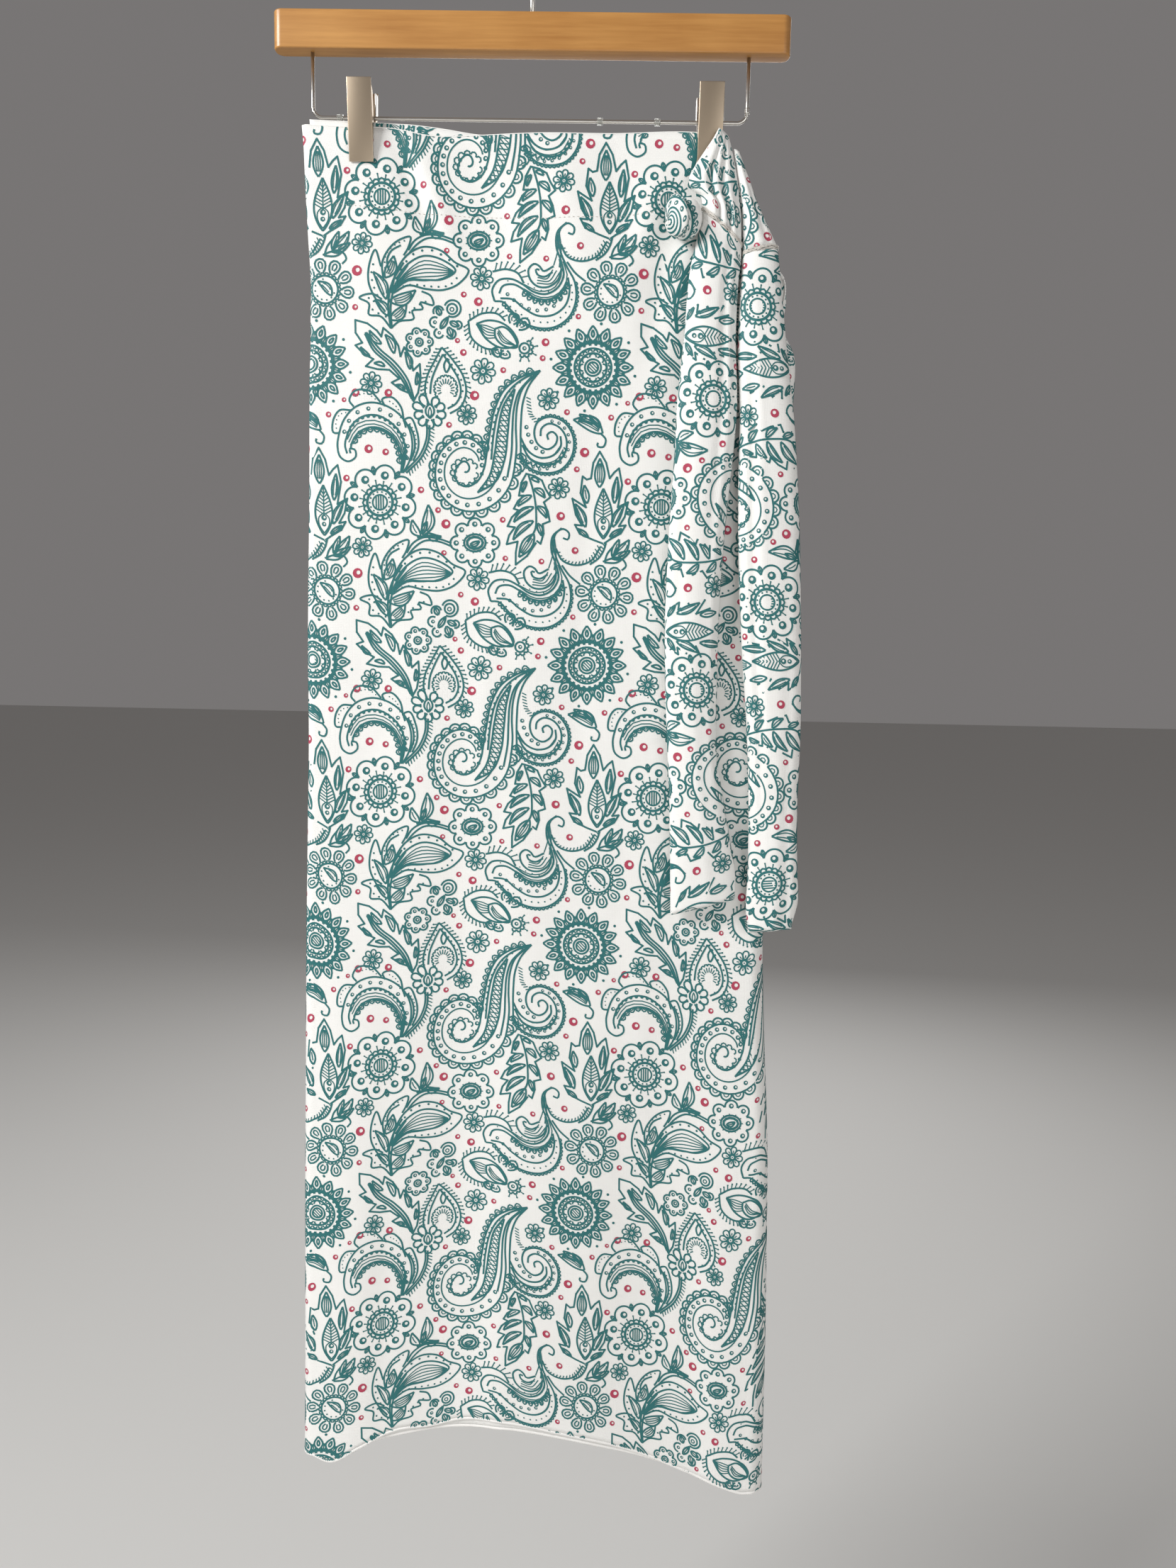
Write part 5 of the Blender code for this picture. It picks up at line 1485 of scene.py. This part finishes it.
def draw_repeat():
    """The whole repeat, in millimetres from the rosette, y down."""
    ink = Ink()
    rosette(ink, 388, 540, 185)
    sun(ink, 1460, 1380, 205)
    daisy(ink, 95, 985, 150)
    oval_flower(ink, 880, 750, 122)
    round_flower(ink, 575, 1250, 72)
    spiral(ink)
    lattice(ink)
    for x, y, radius in SMALL_FLOWERS:
        small_flower(ink, x, y, radius)
    for row in LEAVES:
        leaf(ink, row[:2], row[2:4], *row[4:])
    for points in STROKES:
        ink.curve(points)
    for row in JAGGED:
        points = np.reshape(row, (-1, 2))
        for first, last in zip(points[:-1], points[1:]):
            run = np.subtract(last, first) / np.linalg.norm(np.subtract(last, first))
            ink.line([first - 0.35 * OUTLINE * run, last + 0.35 * OUTLINE * run])
    for first, second, count in HATCHES:
        a = smooth_line(first, count=12)
        b = smooth_line(second, count=12)
        for share in np.linspace(0.0, 1.0, count):
            ink.line(a + (b - a) * share, FINE)
    for kind, points, count, size, side in ROWS_ON_LINES:
        row_on_line(ink, kind, points, count, size, side)
    # lotus heart: ribs, a rib down the middle and two eyes in a frame
    for i in range(7):
        level = 476.0 + 17.0 * i
        reach = 0.42 * (level - 441.0) if i < 5 else 40.0
        ink.line([(90, level + 18), (90 - reach, level - 4)], FINE)
        ink.line([(90, level + 18), (90 + reach, level - 4)], FINE)
    ink.line([(90, 456), (90, 588)], FINE)
    for side in (-1.0, 1.0):
        ink.curve([(90, 586), (90 + side * 27, 612), (90 + side * 26, 650), (90, 690)], FINE)
    ink.eye(90, 612, 15)
    ink.eye(89, 645, 12)
    # butterfly's upper wing and the bud's round petals
    ink.arc(746, 1084, 42.0, -160.0, 120.0)
    ink.arc(744, 1086, 26.0)
    ink.arc(743, 1088, 10.0, width=FINE)
    for x, y, radius, first, last in BUD_PETALS:
        ink.arc(x, y, radius, first, last)
    ink.eye(656, 1152, 10.0)
    ink.eye(678, 1204, 9.0)
    for turn, tip in ((-68.0, 108.0), (-36.0, 122.0), (96.0, 92.0), (124.0, 96.0)):
        fan_petal(ink, 1022, 1226, turn, 66.0, tip + 16.0, 26.0)
        fan_petal(ink, 1022, 1226, turn, 82.0, tip, 11.0, FINE)
    ink.arc(1112, 1284, 26.0)
    ink.eye(1112, 1284, 11.0)
    for turn in (-50.0, -10.0, 30.0, 70.0, 110.0):
        far = around(1112, 1284, turn, 66.0)
        ink.arc(*around(1112, 1284, turn, 34.0), 12.0, turn - 100.0, turn + 100.0)
        ink.line([around(1112, 1284, turn, 46.0), far], FINE)
        ink.dot(*far, 5.5, 5)
    # scalloped drop inside the spiked one
    for i in range(13):
        turn = 150.0 + 20.0 * i
        ink.arc(*around(708, 1480, turn, 52, 58), 10.0, turn - 95.0, turn + 95.0, 0.85 * OUTLINE)
        ink.line([around(708, 1484, turn, 26, 28), around(708, 1482, turn, 46, 52)], FINE)
    for turn in (-62.0, -25.0, 12.0, 50.0, 90.0, 130.0, 168.0, 205.0, 242.0):
        fan_petal(ink, 655, 92, turn, 34.0, 82.0 if turn < 200.0 else 96.0, 19.0)
    leaf(ink, (655, 116), (655, 66), 8.0, 0.0, 1, FINE)
    for x, y, radius in ACCENT_RINGS:
        ink.eye(x, y, radius, ACCENT, 12)
    return ink.drawn(ROSETTE, CHART_TURN)


def knot_line(level):
    """A line across the knot's cloth, a little slanted."""
    return (-280, level + 6, -90, level - 4, 90, level + 4, 280, level - 6)


def draw_knot():
    """What shows on the curled knot: a striped nose, then bands of rings and scallops round it."""
    ink = Ink()
    for level, width in KNOT_LINES:
        ink.curve(knot_line(level), width)
    for kind, level, count, size in KNOT_ROWS:
        row_on_line(ink, kind, knot_line(level), count, size, -1)
    return ink.drawn()


class Ground:
    """The outer face of a cloth, read by flat distance across and down in millimetres."""

    def __init__(self, points, tube=False, hem_bare=EDGE_BARE):
        self.hem_bare = hem_bare
        rows, columns = points.shape[:2]
        across = flat_distance(points, 1)
        if tube:
            across -= across[:, columns // 2:columns // 2 + 1]
            down = flat_distance(points, 0)[:, columns // 2]
            self.top = np.zeros(2)
            self.foot = np.full(2, down[-1])
            self.shares = down / down[-1]
        else:
            middle = np.abs(points[:, 3:-3, 0]).argmin(axis=1) + 3
            row = np.arange(rows)
            rise = (across[row, middle + 1] - across[row, middle - 1]) / (
                points[row, middle + 1, 0] - points[row, middle - 1, 0])
            across -= (across[row, middle] - points[row, middle, 0] * rise)[:, None]
            self.shares = np.linspace(0.0, 1.0, rows)
        self.first = across[:, 0]
        self.last = across[:, -1]
        self.places = np.arange(self.first.min(), self.last.max() + GROUND_STEP, GROUND_STEP)
        normals = np.cross(np.gradient(points, axis=0), np.gradient(points, axis=1))
        normals /= np.linalg.norm(normals, axis=2, keepdims=True) + 1e-9
        both = np.concatenate([points, normals], axis=2)
        self.grid = np.empty((rows, len(self.places), 6))
        for i in range(rows):
            at = np.interp(self.places, across[i], np.arange(columns))
            left = np.minimum(at.astype(int), columns - 2)
            part = (at - left)[:, None]
            self.grid[i] = both[i, left] * (1.0 - part) + both[i, left + 1] * part
        if not tube:
            self.top = -self.grid[0, :, 2]
            self.foot = -self.grid[-1, :, 2]

    def read(self, flat):
        """Rows' shares and clamped flat places, and which places are off the cloth."""
        at = np.clip((flat[:, 0] - self.places[0]) / GROUND_STEP, 0.0, len(self.places) - 1.001)
        knots = np.linspace(0.0, len(self.places) - 1.0, len(self.top))
        top = np.interp(at, knots, self.top)
        foot = np.interp(at, knots, self.foot)
        share = (flat[:, 1] - top) / (foot - top)
        row = np.interp(share, self.shares, np.arange(len(self.shares)))
        first = np.interp(row, np.arange(len(self.first)), self.first) + EDGE_BARE
        last = np.interp(row, np.arange(len(self.last)), self.last) - EDGE_BARE
        start = EDGE_BARE / (foot - top)
        end = 1.0 - self.hem_bare / (foot - top)
        off = (share < start) | (share > end) | (flat[:, 0] < first) | (flat[:, 0] > last)
        share = np.clip(share, start, end)
        row = np.interp(share, self.shares, np.arange(len(self.shares)))
        held = np.stack([np.clip(flat[:, 0], first, last), top + share * (foot - top)], axis=1)
        return row, held, off

    def lifted(self, row, held, lift):
        """Points above the cloth at rows and flat places."""
        at = np.clip((held[:, 0] - self.places[0]) / GROUND_STEP, 0.0, len(self.places) - 1.001)
        left = at.astype(int)
        upper = np.minimum(row.astype(int), len(self.shares) - 2)
        aside = (at - left)[:, None]
        below = (row - upper)[:, None]
        found = ((self.grid[upper, left] * (1.0 - aside) + self.grid[upper, left + 1] * aside)
                 * (1.0 - below)
                 + (self.grid[upper + 1, left] * (1.0 - aside)
                    + self.grid[upper + 1, left + 1] * aside) * below)
        return found[:, :3] + found[:, 3:] * lift[:, None]


def print_film(name, art, ground, rosette_place, way=0, pulls=()):
    """Print a cloth: repeats set side by side, bent to the cloth, as a thin film."""
    low = np.array((ground.first.min(), ground.top.min()))
    high = np.array((ground.last.max(), ground.foot.max()))
    steps = range(-math.ceil((high - low).max() / min(TILE)) - 3,
                  math.ceil((high - low).max() / min(TILE)) + 9)
    starts = np.concatenate([[0], np.cumsum(art["sizes"])[:-1]])
    following = np.arange(1, len(art["corners"]) + 1)
    following[starts + art["sizes"] - 1] = starts
    points, helds, corners, sizes, tints = [], [], [], [], []
    count = 0
    for i in steps:
        for j in steps:
            flat = art["spots"] + np.array((i * TILE[0], j * TILE[1]))
            if way:
                flat = way * np.stack([flat[:, 1], -flat[:, 0]], axis=1)
            flat = flat + np.array(rosette_place)
            start = flat.copy()
            for place, reach, aside, down, depth in pulls:
                pull = np.clip((start[:, 1] - depth) / (-LEVEL_HEM - depth), 0.0, 1.1)
                pull *= np.exp(-((start[:, 0] - place) / reach) ** 2)
                flat += pull[:, None] * np.array((aside, down))
            if (flat.min(axis=0) > high).any() or (flat.max(axis=0) < low).any():
                continue
            row, held, off = ground.read(flat)
            around = held[art["corners"]]
            beyond = around[following]
            area = np.abs(np.add.reduceat(around[:, 0] * beyond[:, 1]
                                          - beyond[:, 0] * around[:, 1], starts))
            inside = np.add.reduceat((~off[art["corners"]]).astype(int), starts) > 0
            keep = inside & (area > SMALLEST_FACE)
            used = np.repeat(keep, art["sizes"])
            kept = art["corners"][used]
            if not len(kept):
                continue
            spots, order = np.unique(kept, return_inverse=True)
            points.append(ground.lifted(row[spots], held[spots],
                                        FILM_LIFT + art["lifts"][spots]))
            helds.append(held[spots])
            corners.append(order + count)
            sizes.append(art["sizes"][keep])
            tints.append(art["tints"][keep])
            count += len(spots)
    held = np.concatenate(helds)
    corners = np.concatenate(corners)
    sizes = np.concatenate(sizes)
    faces = [face.tolist() for face in np.split(corners, np.cumsum(sizes)[:-1])]
    made = new_piece(name, np.concatenate(points), faces, finish("teal_ink"), finish("rose_ink"))
    share = (held - held.min(axis=0)) / (held.max(axis=0) - held.min(axis=0))
    for layer, flat in (("cloth", held * MM), ("OFBake", share)):
        layer = made.data.uv_layers.new(name=layer)
        layer.data.foreach_set("uv", flat[corners].astype(np.float32).ravel())
    made.data.polygons.foreach_set("material_index", np.concatenate(tints).astype(np.int32))
    place_piece(made, "printed_jersey")


class SARONG_OT_skirt_panels(bpy.types.Operator):
    """Make the front, under and back panels of the skirt."""

    bl_idname = "sarong.skirt_panels"
    bl_label = "Skirt panels"

    def execute(self, context):
        for name, panel in PANELS.items():
            made = grid_piece(name + "_shell", panel.face(), finish("printed_jersey"),
                              finish("jersey_wrong_side"))
            thicken(made, context.scene.sarong_cloth.thickness)
            place_piece(made, "printed_jersey", name + "_panel")
        return {"FINISHED"}


class SARONG_OT_straps(bpy.types.Operator):
    """Make the two waist tabs and the two ties."""

    bl_idname = "sarong.straps"
    bl_label = "Tabs and ties"

    def execute(self, context):
        for name in STRAPS:
            made = grid_piece(name + "_cloth", strap_points(name), finish("printed_jersey"))
            close_grid(made, STRAP_COLUMNS)
            place_piece(made, "printed_jersey", name)
        return {"FINISHED"}


class SARONG_OT_knot(bpy.types.Operator):
    """Make the curled knot."""

    bl_idname = "sarong.knot"
    bl_label = "Knot"

    def execute(self, context):
        made = grid_piece("knot_cloth", knot_points(), finish("printed_jersey"))
        close_grid(made, 120)
        place_piece(made, "printed_jersey", "knot")
        return {"FINISHED"}


class SARONG_OT_edges(bpy.types.Operator):
    """Make the overlocked edges, the waist's soft fold, its stitches and the ties' seams."""

    bl_idname = "sarong.edges"
    bl_label = "Edges"

    def execute(self, context):
        thread = finish("overlock_thread")
        # the seams' grey thread is partly painted shade, standing for the shadow along the seam
        seam_thread_painted_shade = finish("grey_thread_painted_shade")
        jersey_finish = finish("printed_jersey")
        inset = 0.5 * context.scene.sarong_cloth.thickness / MM
        hems = []
        waists = []
        for name, panel in PANELS.items():
            points = panel.face(np.array([0.0, 0.001, 0.999, 1.0]))
            inward = np.gradient(points[:, :, :2], axis=1)
            inward /= np.linalg.norm(inward, axis=2, keepdims=True)
            shift = np.stack([-inward[..., 1], inward[..., 0], np.zeros(inward.shape[:2])], -1)
            middle = points + inset * shift
            hems.append(tube_along(name + "_hem_edge", even_points(middle[3], 0.8),
                                   HEM_EDGE, thread, ribs=0.22, section=(0.55, 1.0)))
            waists.append(tube_along(name + "_waist_fold", even_points(middle[0], 3.0),
                                     WAIST_FOLD, jersey_finish))
        seams = []
        for name, seed in SEAM_SEEDS.items():
            line = seam_points(name)
            for strand in range(3):
                shift = np.array((0.0, -0.35 * (strand % 2), 0.9 * (strand - 1)))
                points = ragged(even_points(line + shift, 1.3), 0.55, seed + 7 * strand)
                seams.append(tube_along(name + "_seam", points, SEAM_THREAD, seam_thread_painted_shade,
                                        ribs=0.3))
            end = line[-1]
            for k in range(9):
                turn = 0.7 * k
                loop = [end + np.array((-0.9 * k + 1.1 * math.sin(turn + t),
                                        -0.6 - 0.5 * math.cos(t), 1.5 * math.cos(turn + t)))
                        for t in np.linspace(0.0, 4.2, 9)]
                seams.append(tube_along(name + "_seam_loop", loop, LOOP_THREAD, thread))
        place_piece(join_pieces("seam_threads", seams), "printed_jersey")
        edge = [smooth_read(range(len(EDGE_LOOP)), [row[k] for row in EDGE_LOOP],
                            np.linspace(0.0, len(EDGE_LOOP) - 1.0, 60)) for k in range(3)]
        made = tube_along("side_overlock", even_points(np.stack(edge, axis=1), 0.9), SIDE_EDGE,
                          thread, ribs=0.22, section=(0.6, 1.0))
        place_piece(made, "printed_jersey")
        place_piece(stitch_row("facing_stitches", Ground(PANELS["front"].face())),
                    "printed_jersey")
        place_piece(join_pieces("hem_overlock", hems), "printed_jersey")
        place_piece(join_pieces("waist_fold", waists), "printed_jersey")
        return {"FINISHED"}


class SARONG_OT_print(bpy.types.Operator):
    """Print the skirt, the tabs, the ties and the knot."""

    bl_idname = "sarong.print"
    bl_label = "Print"

    def execute(self, context):
        repeat = draw_repeat()
        for name, panel in PANELS.items():
            ground = Ground(panel.face(), hem_bare=HEM_BARE.get(name, EDGE_BARE))
            print_film("print_" + name, repeat, ground, ROSETTE_PLACES[name],
                       pulls=PULLS.get(name, ()))
        for name, (_, _, place, way) in STRAPS.items():
            print_film("print_" + name, repeat, Ground(strap_points(name), tube=True), place, way)
        print_film("print_knot", draw_knot(), Ground(knot_points(), tube=True), (0, 0))
        return {"FINISHED"}


class SARONG_OT_state_cloth(bpy.types.Operator):
    """A step that states nothing: it returns at once."""

    bl_idname = "sarong.state_cloth"
    bl_label = "State the cut"

    def execute(self, context):
        return {"FINISHED"}


class HANGER_OT_bar(bpy.types.Operator):
    """Make the wooden bar of the hanger."""

    bl_idname = "hanger.bar"
    bl_label = "Bar"

    def execute(self, context):
        made = cube("wooden_bar", (BAR_LENGTH, BAR_DEPTH, BAR_HEIGHT),
                    (0.0, 0.0, BAR_TOP - 0.5 * BAR_HEIGHT))
        work = bmesh.new()
        work.from_mesh(made.data)
        upright = [e for e in work.edges
                   if abs(e.verts[0].co.z - e.verts[1].co.z) > 0.5 * BAR_HEIGHT * MM]
        bmesh.ops.bevel(work, geom=upright, offset=BAR_END_ROUND * MM, segments=10, profile=0.5,
                        affect="EDGES")
        work.to_mesh(made.data)
        work.free()
        ease(made, BAR_EDGE_ROUND, 4, 50.0)
        finish_hard(made, 30.0, "lacquered_wood")
        place_piece(made, "lacquered_wood", "hanger_bar")
        return {"FINISHED"}


def arc(centre_x, centre_z, radius, start, end, steps):
    """Points of an arc in the hanger's plane, angles in degrees from +X towards +Z."""
    angles = np.radians(np.linspace(start, end, steps + 1))
    return [(centre_x + radius * math.cos(a), 0.0, centre_z + radius * math.sin(a))
            for a in angles]


class HANGER_OT_wires(bpy.types.Operator):
    """Bend the hook and the rod that carries the clips."""

    bl_idname = "hanger.wires"
    bl_label = "Hook and rod"

    def execute(self, context):
        steel = finish("bright_wire")
        radius = HOOK_INSIDE_RADIUS + 0.5 * HOOK_WIRE
        bow = arc(0.0, -HOOK_INSIDE_RADIUS, radius, HOOK_FROM, HOOK_TO, 60)
        last = np.array(bow[-1])
        turn = math.radians(HOOK_TO)
        heading = np.array((math.sin(turn), 0.0, -math.cos(turn)))
        foot = np.array((0.0, 0.0, BAR_TOP + NECK_HEIGHT))
        upright = foot + np.array((0.0, 0.0, NECK_REACH))
        handles = (last, last + heading * NECK_REACH, upright, foot)
        neck = []
        for t in np.linspace(0.0, 1.0, 20)[1:]:
            weights = ((1 - t) ** 3, 3 * (1 - t) ** 2 * t, 3 * (1 - t) * t * t, t ** 3)
            neck.append(tuple(sum(w * h for w, h in zip(weights, handles))))
        end = [(0.0, 0.0, BAR_TOP - 0.8 * HOOK_SEAT)]
        made = tube_along("hook", bow + neck + end, 0.5 * HOOK_WIRE, steel, sides=20)
        place_piece(made, "bright_wire", "hanger_hook")
        top = BAR_BOTTOM + 4.0
        bend = WIRE_LEVEL + WIRE_BEND
        points = [(WIRE_LEFT, 0.0, top)]
        points += arc(WIRE_LEFT + WIRE_BEND, bend, WIRE_BEND, 180.0, 270.0, 16)
        points += arc(WIRE_RIGHT - WIRE_BEND, bend, WIRE_BEND, 270.0, 360.0, 16)
        points.append((WIRE_RIGHT, 0.0, top))
        made = tube_along("clip_rod", points, 0.5 * WIRE, steel, sides=16)
        place_piece(made, "bright_wire", "hanger_wire")
        ends = [(WIRE_RIGHT, 0.0, level) for level in COLLAR_LEVELS]
        made = tube_along("elbow_collar", ends, 0.5 * WIRE + COLLAR_WALL, steel, sides=20)
        place_piece(made, "bright_wire")
        return {"FINISHED"}


class HANGER_OT_clips(bpy.types.Operator):
    """Make the two spring clips and the stop rings."""

    bl_idname = "hanger.clips"
    bl_label = "Clips and stop rings"

    def plate(self, name, place, side):
        """One pressed plate with its rims bent towards the cloth."""
        height = CLIP_TOP - CLIP_BOTTOM
        lean = math.atan2(CLIP_SPREAD - CLIP_BITE, height)
        depth = side * 0.5 * (CLIP_BITE + CLIP_SPREAD + CLIP_PLATE)
        made = cube(name, (CLIP_WIDTH, CLIP_PLATE, height))
        ease(made, PRESSED_EDGE, 3)
        rims = [self.flange(name + "_rim", edge * 0.5 * (CLIP_WIDTH - FLANGE_WALL), -side)
                for edge in (-1.0, 1.0)]
        made = join_pieces(name, [made] + rims)
        made.rotation_euler = (-side * lean, 0.0, 0.0)
        made.location = Vector((place, depth, 0.5 * (CLIP_TOP + CLIP_BOTTOM))) * MM
        bpy.ops.object.transform_apply(location=True, rotation=True, scale=True)
        finish_hard(made, 35.0, "satin_nickel")
        return made

    def flange(self, name, across, inward):
        """A rim bent towards the rod, deepest at the spring and gone before the jaw."""
        spots = [(across + edge * 0.5 * FLANGE_WALL, inward * (reach + 0.3), level)
                 for edge in (-1.0, 1.0) for level, reach in FLANGE_RIM]
        count = len(FLANGE_RIM)
        faces = [tuple(range(count)), tuple(range(2 * count - 1, count - 1, -1))]
        faces += [(i, i + count, (i + 1) % count + count, (i + 1) % count) for i in range(count)]
        made = new_piece(name, spots, faces, smooth=False)
        work = bmesh.new()
        work.from_mesh(made.data)
        bmesh.ops.recalc_face_normals(work, faces=work.faces)
        work.to_mesh(made.data)
        work.free()
        return made

    def ear(self, name, place):
        """The small bright arm of the back plate that shows beside the front one."""
        made = cube(name, EAR_SIZE, (place, EAR_DEPTH, EAR_LEVEL))
        ease(made, EAR_EDGE, 3)
        finish_hard(made, 35.0, "bright_wire")
        return made

    def execute(self, context):
        for side_name, place in CLIPS.items():
            for plate_name, side in (("front", -1.0), ("back", 1.0)):
                node = "clip_" + side_name + "_" + plate_name
                place_piece(self.plate(node + "_plate", place, side), "satin_nickel", node)
            turns = np.linspace(0.0, SPRING_TURNS * 2.0 * np.pi, 140)
            along = place - 0.5 * SPRING_LENGTH + SPRING_LENGTH * turns / turns[-1]
            coil = np.stack([along, SPRING_RADIUS * np.cos(turns),
                             WIRE_LEVEL + SPRING_RADIUS * np.sin(turns)], axis=1)
            made = tube_along("clip_" + side_name + "_coil", coil, SPRING_WIRE,
                              finish("bright_wire"))
            place_piece(made, "bright_wire", "clip_" + side_name + "_spring")
            for edge in (-1.0, 1.0):
                made = self.ear("clip_" + side_name + "_ear_" + ("right" if edge > 0.0 else "left"),
                                place + edge * (0.5 * CLIP_WIDTH + 0.7))
                place_piece(made, "bright_wire")
        for letter, place in STOP_RINGS.items():
            place_piece(sleeve("stop_sleeve_" + letter, place), "clear_plastic",
                        "stop_ring_" + letter)
        return {"FINISHED"}


def camera_matrix():
    """The camera's place and turn, as in the photograph."""
    forward = Vector((math.sin(CAMERA_YAW) * math.cos(CAMERA_PITCH),
                      math.cos(CAMERA_YAW) * math.cos(CAMERA_PITCH), -math.sin(CAMERA_PITCH)))
    level_right = Vector((math.cos(CAMERA_YAW), -math.sin(CAMERA_YAW), 0.0))
    level_up = level_right.cross(forward)
    right = math.cos(CAMERA_ROLL) * level_right + math.sin(CAMERA_ROLL) * level_up
    up = -math.sin(CAMERA_ROLL) * level_right + math.cos(CAMERA_ROLL) * level_up
    turn = Matrix((right, up, -forward)).transposed().to_4x4()
    return Matrix.Translation(CAMERA_PLACE) @ turn


class STAGE_OT_stage(bpy.types.Operator):
    """Set the floor, the lights and the camera."""

    bl_idname = "stage.stage"
    bl_label = "Stage"

    def execute(self, context):
        settings = context.scene.sarong_stage
        bpy.ops.object.select_all(action="DESELECT")
        bpy.ops.mesh.primitive_plane_add(size=30.0, location=(0.0, 0.0, settings.floor_level))
        floor = bpy.context.object
        floor.name = "floor"
        floor.data.materials.append(plain_surface("painted_floor", tuple(settings.floor), 0.8,
                                                  grain=0.1, grain_scale=60.0))
        world = bpy.data.worlds.new("studio_air")
        context.scene.world = world
        world.use_nodes = True
        sky = world.node_tree.nodes["Background"]
        sky.inputs["Color"].default_value = (*settings.air, 1.0)
        sky.inputs["Strength"].default_value = settings.air_strength
        lamps = {
            "key": ((-1.9, -1.2, 0.7), 0.9, 68.0),
            "fill": ((1.5, -1.9, -0.3), 1.4, 14.0),
            "low": ((0.2, -2.0, -1.35), 1.2, 7.5),
            "rear": ((0.3, 2.2, 0.3), 1.6, 24.0),
        }
        for name, (place, size, power) in lamps.items():
            data = bpy.data.lights.new(name, "AREA")
            data.size = size
            data.energy = power
            lamp = bpy.data.objects.new(name, data)
            context.collection.objects.link(lamp)
            lamp.location = place
            aim = Vector((0.02, 0.0, -0.6)) - Vector(place)
            lamp.rotation_euler = aim.to_track_quat("-Z", "Y").to_euler()
        data = bpy.data.cameras.new("camera")
        data.sensor_width = SENSOR
        data.lens = FOCAL_PIXELS / max(IMAGE_SIZE) * SENSOR
        camera = bpy.data.objects.new("camera", data)
        context.collection.objects.link(camera)
        camera.matrix_world = camera_matrix()
        context.scene.camera = camera
        context.scene.view_settings.view_transform = "Standard"
        return {"FINISHED"}


OPERATORS = (
    SARONG_OT_skirt_panels, SARONG_OT_straps, SARONG_OT_knot, SARONG_OT_edges, SARONG_OT_print,
    HANGER_OT_bar, HANGER_OT_wires, HANGER_OT_clips, SARONG_OT_state_cloth, STAGE_OT_stage,
)


class SARONG_PT_build(bpy.types.Panel):
    """Lists the steps that dress the sarong."""

    bl_label = "Sarong"
    bl_space_type = "VIEW_3D"
    bl_region_type = "UI"
    bl_category = "Sarong"

    def draw(self, context):
        for operator in OPERATORS:
            self.layout.operator(operator.bl_idname)


CLASSES = (ClothSettings, HangerSettings, StageSettings) + OPERATORS + (SARONG_PT_build,)


def register():
    """Add the classes and settings."""
    for made in CLASSES:
        bpy.utils.register_class(made)
    bpy.types.Scene.sarong_cloth = PointerProperty(type=ClothSettings)
    bpy.types.Scene.sarong_hanger = PointerProperty(type=HangerSettings)
    bpy.types.Scene.sarong_stage = PointerProperty(type=StageSettings)


def unregister():
    """Remove the settings and classes."""
    del bpy.types.Scene.sarong_stage
    del bpy.types.Scene.sarong_hanger
    del bpy.types.Scene.sarong_cloth
    for made in reversed(CLASSES):
        bpy.utils.unregister_class(made)


def main():
    """Register the add-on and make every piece."""
    register()
    for operator in OPERATORS:
        group, name = operator.bl_idname.split(".")
        getattr(getattr(bpy.ops, group), name)()


if __name__ == "__main__":
    main()
